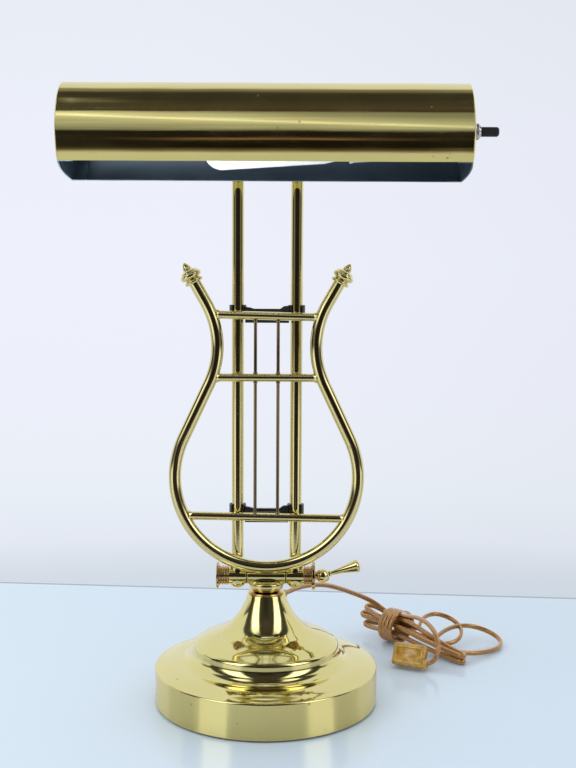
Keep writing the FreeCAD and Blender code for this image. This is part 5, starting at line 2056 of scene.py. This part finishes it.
@dataclass
class Studio:
    """The table, the backdrop, the light and the camera."""

    camera_at: tuple = (24.7, -1051.7, 410.3)
    focal: float = 1092.09
    pitch: float = 5.292
    yaw: float = -0.241
    roll: float = 0.30
    frame_width: int = 576
    edge_left: tuple = (-387.0, 413.0)
    edge_right: tuple = (387.0, 354.0)

    def camera(self) -> None:
        """Sets the camera."""
        data = bpy.data.cameras.new("camera")
        data.sensor_fit = "HORIZONTAL"
        data.sensor_width = 36.0
        data.lens = 36.0 * self.focal / self.frame_width
        data.clip_start = 0.01
        eye = in_scene("camera", data)
        pitch, yaw, roll = (math.radians(a) for a in (self.pitch, self.yaw, self.roll))
        ahead = Vector((math.sin(yaw) * math.cos(pitch), math.cos(yaw) * math.cos(pitch), -math.sin(pitch)))
        right = Vector((math.cos(yaw), -math.sin(yaw), 0))
        up = right.cross(ahead)
        cos, sin = math.cos(roll), math.sin(roll)
        right, up = cos * right + sin * up, cos * up - sin * right
        eye.matrix_world = Matrix((
            (right.x, up.x, -ahead.x, self.camera_at[0] * MM),
            (right.y, up.y, -ahead.y, self.camera_at[1] * MM),
            (right.z, up.z, -ahead.z, self.camera_at[2] * MM), (0, 0, 0, 1)))
        bpy.context.scene.camera = eye

    def table(self) -> None:
        """The pale table top, which meets the backdrop along a straight far edge."""
        size = 6.0
        slope = (self.edge_right[1] - self.edge_left[1]) / (self.edge_right[0] - self.edge_left[0])
        middle = (self.edge_left[1] - slope * self.edge_left[0]) * MM
        verts = [(-size, -size, 0), (size, -size, 0), (size, middle + slope * size, 0),
                 (-size, middle - slope * size, 0)]
        floor = mesh_object("table_top", verts, [(0, 1, 2, 3)], heal=False)
        material, t = blank_material("table top")
        place = t.place()
        x, y, _ = t.split(place)
        beyond = t.maths("SUBTRACT", y, t.plus(t.times(x, slope), middle))
        # A dark strip along the far edge: a painted shadow where the table meets the backdrop.
        line = t.remap(beyond, -0.0065, -0.0045)
        # The top turns darker towards the back and the right: painted shade.
        depth = t.remap(y, -0.25, 0.40)
        across = t.remap(x, -0.4, 0.4)
        top_with_painted_shade = t.blend(depth, (0.68, 0.775, 0.86, 1), (0.635, 0.76, 0.86, 1))
        top_with_painted_shade = t.blend(t.times(across, 0.5), top_with_painted_shade, (0.58, 0.69, 0.80, 1))
        colour = t.blend(line, top_with_painted_shade, (0.30, 0.33, 0.40, 1))
        path = t.add("ShaderNodeLightPath")
        colour = t.blend(path.outputs["Is Glossy Ray"], colour, (0.64, 0.65, 0.66, 1))
        surface = t.add("ShaderNodeBsdfPrincipled", None, Base_Color=colour, Roughness=0.16,
                        Specular_IOR_Level=0.42)
        clear = t.add("ShaderNodeBsdfTransparent")
        front = t.remap(y, -0.72, -0.62, 1.0, 0.0)
        gone = t.times(front, path.outputs["Is Glossy Ray"])
        shown = t.add("ShaderNodeMixShader", None, i0=gone, i1=surface.outputs[0], i2=clear.outputs[0])
        t.output("ShaderNodeOutputMaterial", shown)
        floor.data.materials.append(material)

    def world(self) -> None:
        """Soft white light, a plain backdrop, and the room that polished metal mirrors."""
        world = bpy.data.worlds.new("studio")
        bpy.context.scene.world = world
        world.use_nodes = True
        world.node_tree.nodes.clear()
        t = Tree(world.node_tree)
        x, y, z = t.split(t.add("ShaderNodeTexCoord").outputs["Generated"])
        ahead = t.times(y, -1.0)
        tall = t.times(t.maths("ARCTAN2", z, ahead), 180 / math.pi)
        round_it = t.times(t.maths("ARCTAN2", x, ahead), 180 / math.pi)
        height = t.times(t.maths("ARCSINE", z), 180 / math.pi)
        arch = t.degree_ramp(tall, 180, (
            (-180, (0.75, 0.79, 0.86)), (-100, (0.66, 0.70, 0.78)), (-58, (0.60, 0.61, 0.68)),
            (-46, (0.90, 0.82, 0.90)), (-41, (0.34, 0.30, 0.31)), (-37, (0.10, 0.08, 0.06)),
            (-31, (0.007, 0.007, 0.006)), (-14, (0.013, 0.009, 0.008)), (0, (0.014, 0.011, 0.010)),
            (45, (0.04, 0.034, 0.034)), (56, (0.075, 0.055, 0.05)), (80, (0.038, 0.033, 0.034)),
            (98, (0.045, 0.038, 0.036)), (108, (0.25, 0.23, 0.21)), (128, (0.80, 0.82, 0.85)),
            (180, (0.86, 0.89, 0.95))))
        band = t.remap(t.maths("ABSOLUTE", t.plus(tall, 13.3)), 0.8, 3.2, 1.0, 0.0)
        middle = t.remap(t.maths("ABSOLUTE", t.plus(x, 0.02)), 0.03, 0.14, 1.0, 0.0)
        arch = t.blend(t.times(band, middle), arch, (0.30, 0.19, 0.15, 1))
        walls = t.degree_ramp(round_it, 180, (
            (-180, 0.88), (-118, 0.85), (-110, 0.07), (-76, 0.06), (-68, 1.0), (-38, 1.0), (-32, 0.05),
            (38, 0.05), (44, 1.0), (72, 1.0), (78, 0.05), (104, 0.07), (112, 0.80), (180, 0.88)))
        level = t.degree_ramp(height, 90, (
            (-40, 0.0), (-24, 0.45), (-11, 0.55), (-6, 0.42), (-3, 0.08), (6, 0.06), (18, 0.9), (54, 1.0),
            (76, 0.0)))
        glow = t.times(t.remap(walls, 0.9, 1.0), 1.35)
        side = t.blend(1.0, walls, t.blend(1.0, (1, 1, 1, 1), glow, "MULTIPLY"), "ADD")
        room = t.blend(t.times(level, t.remap(t.maths("ABSOLUTE", x), 0.10, 0.30)), arch, side)
        path = t.add("ShaderNodeLightPath")
        backdrop = t.ramp(t.remap(z, -0.35, 0.25), [
            (0.12, (0.63, 0.71, 0.79)), (0.155, (0.665, 0.72, 0.80)), (0.2, (0.77, 0.81, 0.89)),
            (0.27, (0.815, 0.86, 0.93)), (0.40, (0.845, 0.87, 0.955)), (0.6, (0.855, 0.88, 0.97)),
            (0.8, (0.845, 0.87, 0.955)), (1.0, (0.81, 0.84, 0.915))])
        backdrop = t.blend(t.remap(x, -0.1, 0.3, 0.0, 0.10), backdrop, (0.35, 0.38, 0.42, 1))
        colour = t.blend(path.outputs["Is Glossy Ray"], (0.90, 0.93, 0.97, 1), room)
        colour = t.blend(path.outputs["Is Camera Ray"], colour, backdrop)
        sky = t.add("ShaderNodeBackground", None, Color=colour, Strength=1.0)
        t.output("ShaderNodeOutputWorld", sky)

    def card(self, name: str, verts: list[tuple], bright: Callable[[Tree], Socket], colour: tuple) -> None:
        """A bright card that only polished metal shows, from its front.

        Args:
            name: its name.
            verts: its four corners in metres.
            bright: makes the nodes of its brightness.
            colour: its colour.
        """
        card = mesh_object(name, verts, [(0, 1, 2, 3)], heal=False)
        material, t = blank_material(name)
        strength = bright(t)
        glow = t.add("ShaderNodeEmission", None, Color=colour, Strength=strength)
        clear = t.add("ShaderNodeBsdfTransparent")
        back = t.add("ShaderNodeNewGeometry").outputs["Backfacing"]
        faded = t.remap(strength, 0.0, 0.12, 1.0, 0.0)
        hidden = t.maths("MAXIMUM", back, faded)
        shown = t.add("ShaderNodeMixShader", None, i0=hidden, i1=glow.outputs[0], i2=clear.outputs[0])
        t.output("ShaderNodeOutputMaterial", shown)
        card.data.materials.append(material)
        for ray in ("camera", "diffuse", "shadow", "transmission"):
            setattr(card, "visible_" + ray, False)

    def cards(self) -> None:
        """The bright panel that the front of the shade mirrors, and the ceiling that the base mirrors."""
        low, high, wide = (-0.30, 0.552), (-0.81, 1.279), 0.75

        def panel(t: Tree) -> Socket:
            """Uneven brightness, with the brightest line lower towards the switch."""
            place = t.place()
            x, _, z = t.split(place)
            up = t.remap(z, low[1], high[1])
            even = t.maths("DIVIDE", up, t.plus(up, 0.25))
            tilted = t.plus(even, t.times(x, 0.915))
            shape = t.ramp(tilted,
                           ((0.0, 0.40), (0.12, 0.46), (0.26, 0.55), (0.34, 0.62), (0.39, 1.36), (0.45, 0.72),
                            (0.54, 0.60), (0.68, 0.40), (0.85, 0.32), (1.0, 0.28)))
            ends = t.times(t.remap(even, 0.0, 0.16, 0.55, 1.0), t.remap(x, -0.2, 0.2, 1.06, 0.84))
            folds = t.noise(t.mapped(place, (3.0, 24.0, 24.0)), 1.0, 4.0, 0.65)
            return t.times(t.times(shape, ends), t.remap(folds, 0.3, 0.7, 0.72, 1.32))

        def ceiling(t: Tree) -> Socket:
            """Even brightness with a soft front edge."""
            return t.remap(t.split(t.place())[1], 0.09, 0.20, 0.0, 0.84)

        self.card("front_panel",
                  [(-wide, high[0], high[1]), (wide, high[0], high[1]), (wide, low[0], low[1]),
                   (-wide, low[0], low[1])], panel, (1.0, 1.02, 1.08, 1))
        self.card("ceiling", [(-2.5, 2.5, 1.14), (2.5, 2.5, 1.14), (2.5, 0.05, 1.14), (-2.5, 0.05, 1.14)],
                  ceiling, (1.0, 1.02, 1.06, 1))

    def light(self, name: str, place: Point, target: Point, size: tuple, energy: float,
              spread: float = 180.0) -> None:
        """A soft light that shows in no reflection.

        Args:
            name: its name.
            place: where it stands, in metres.
            target: what it points at.
            size: its width and height.
            energy: its power in watts.
            spread: the angle of its beam, in degrees.
        """
        data = bpy.data.lights.new(name, "AREA")
        data.spread = math.radians(spread)
        data.shape = "RECTANGLE"
        data.size, data.size_y = size
        data.energy = energy
        light = bpy.data.objects.new(name, data)
        light.location = place
        light.rotation_euler = (Vector(target) - light.location).to_track_quat("-Z", "Y").to_euler()
        light.visible_glossy = False
        light.visible_camera = False
        bpy.context.scene.collection.objects.link(light)

    def build(self) -> None:
        """Sets up everything that isn't part of the lamp."""
        self.camera()
        self.table()
        self.world()
        self.cards()
        self.light("soft light", (-1.1, -0.9, 1.6), (0.05, 0.0, 0.2), (1.4, 1.0), 9.0)
        self.light("low light", (-0.50, -0.42, 0.16), (-0.20, -0.06, 0.53), (0.3, 0.3), 0.9, 30.0)
        bpy.context.scene.view_settings.view_transform = "Standard"


def main() -> None:
    """Builds the lamp in order."""
    logging.basicConfig(level=logging.INFO, format="%(name)s: %(message)s")
    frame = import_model()
    Studio().build()
    shop = Workshop(frame)
    plug = Plug()
    Base().build(shop)
    plug.build(shop)
    Cord().build(shop, plug)
    lower = LowerPivot()
    lower.build(shop)
    Lyre().build(shop)
    UpperPivot().build(shop, lower)
    Shade().build(shop)


if __name__ == "__main__":
    main()
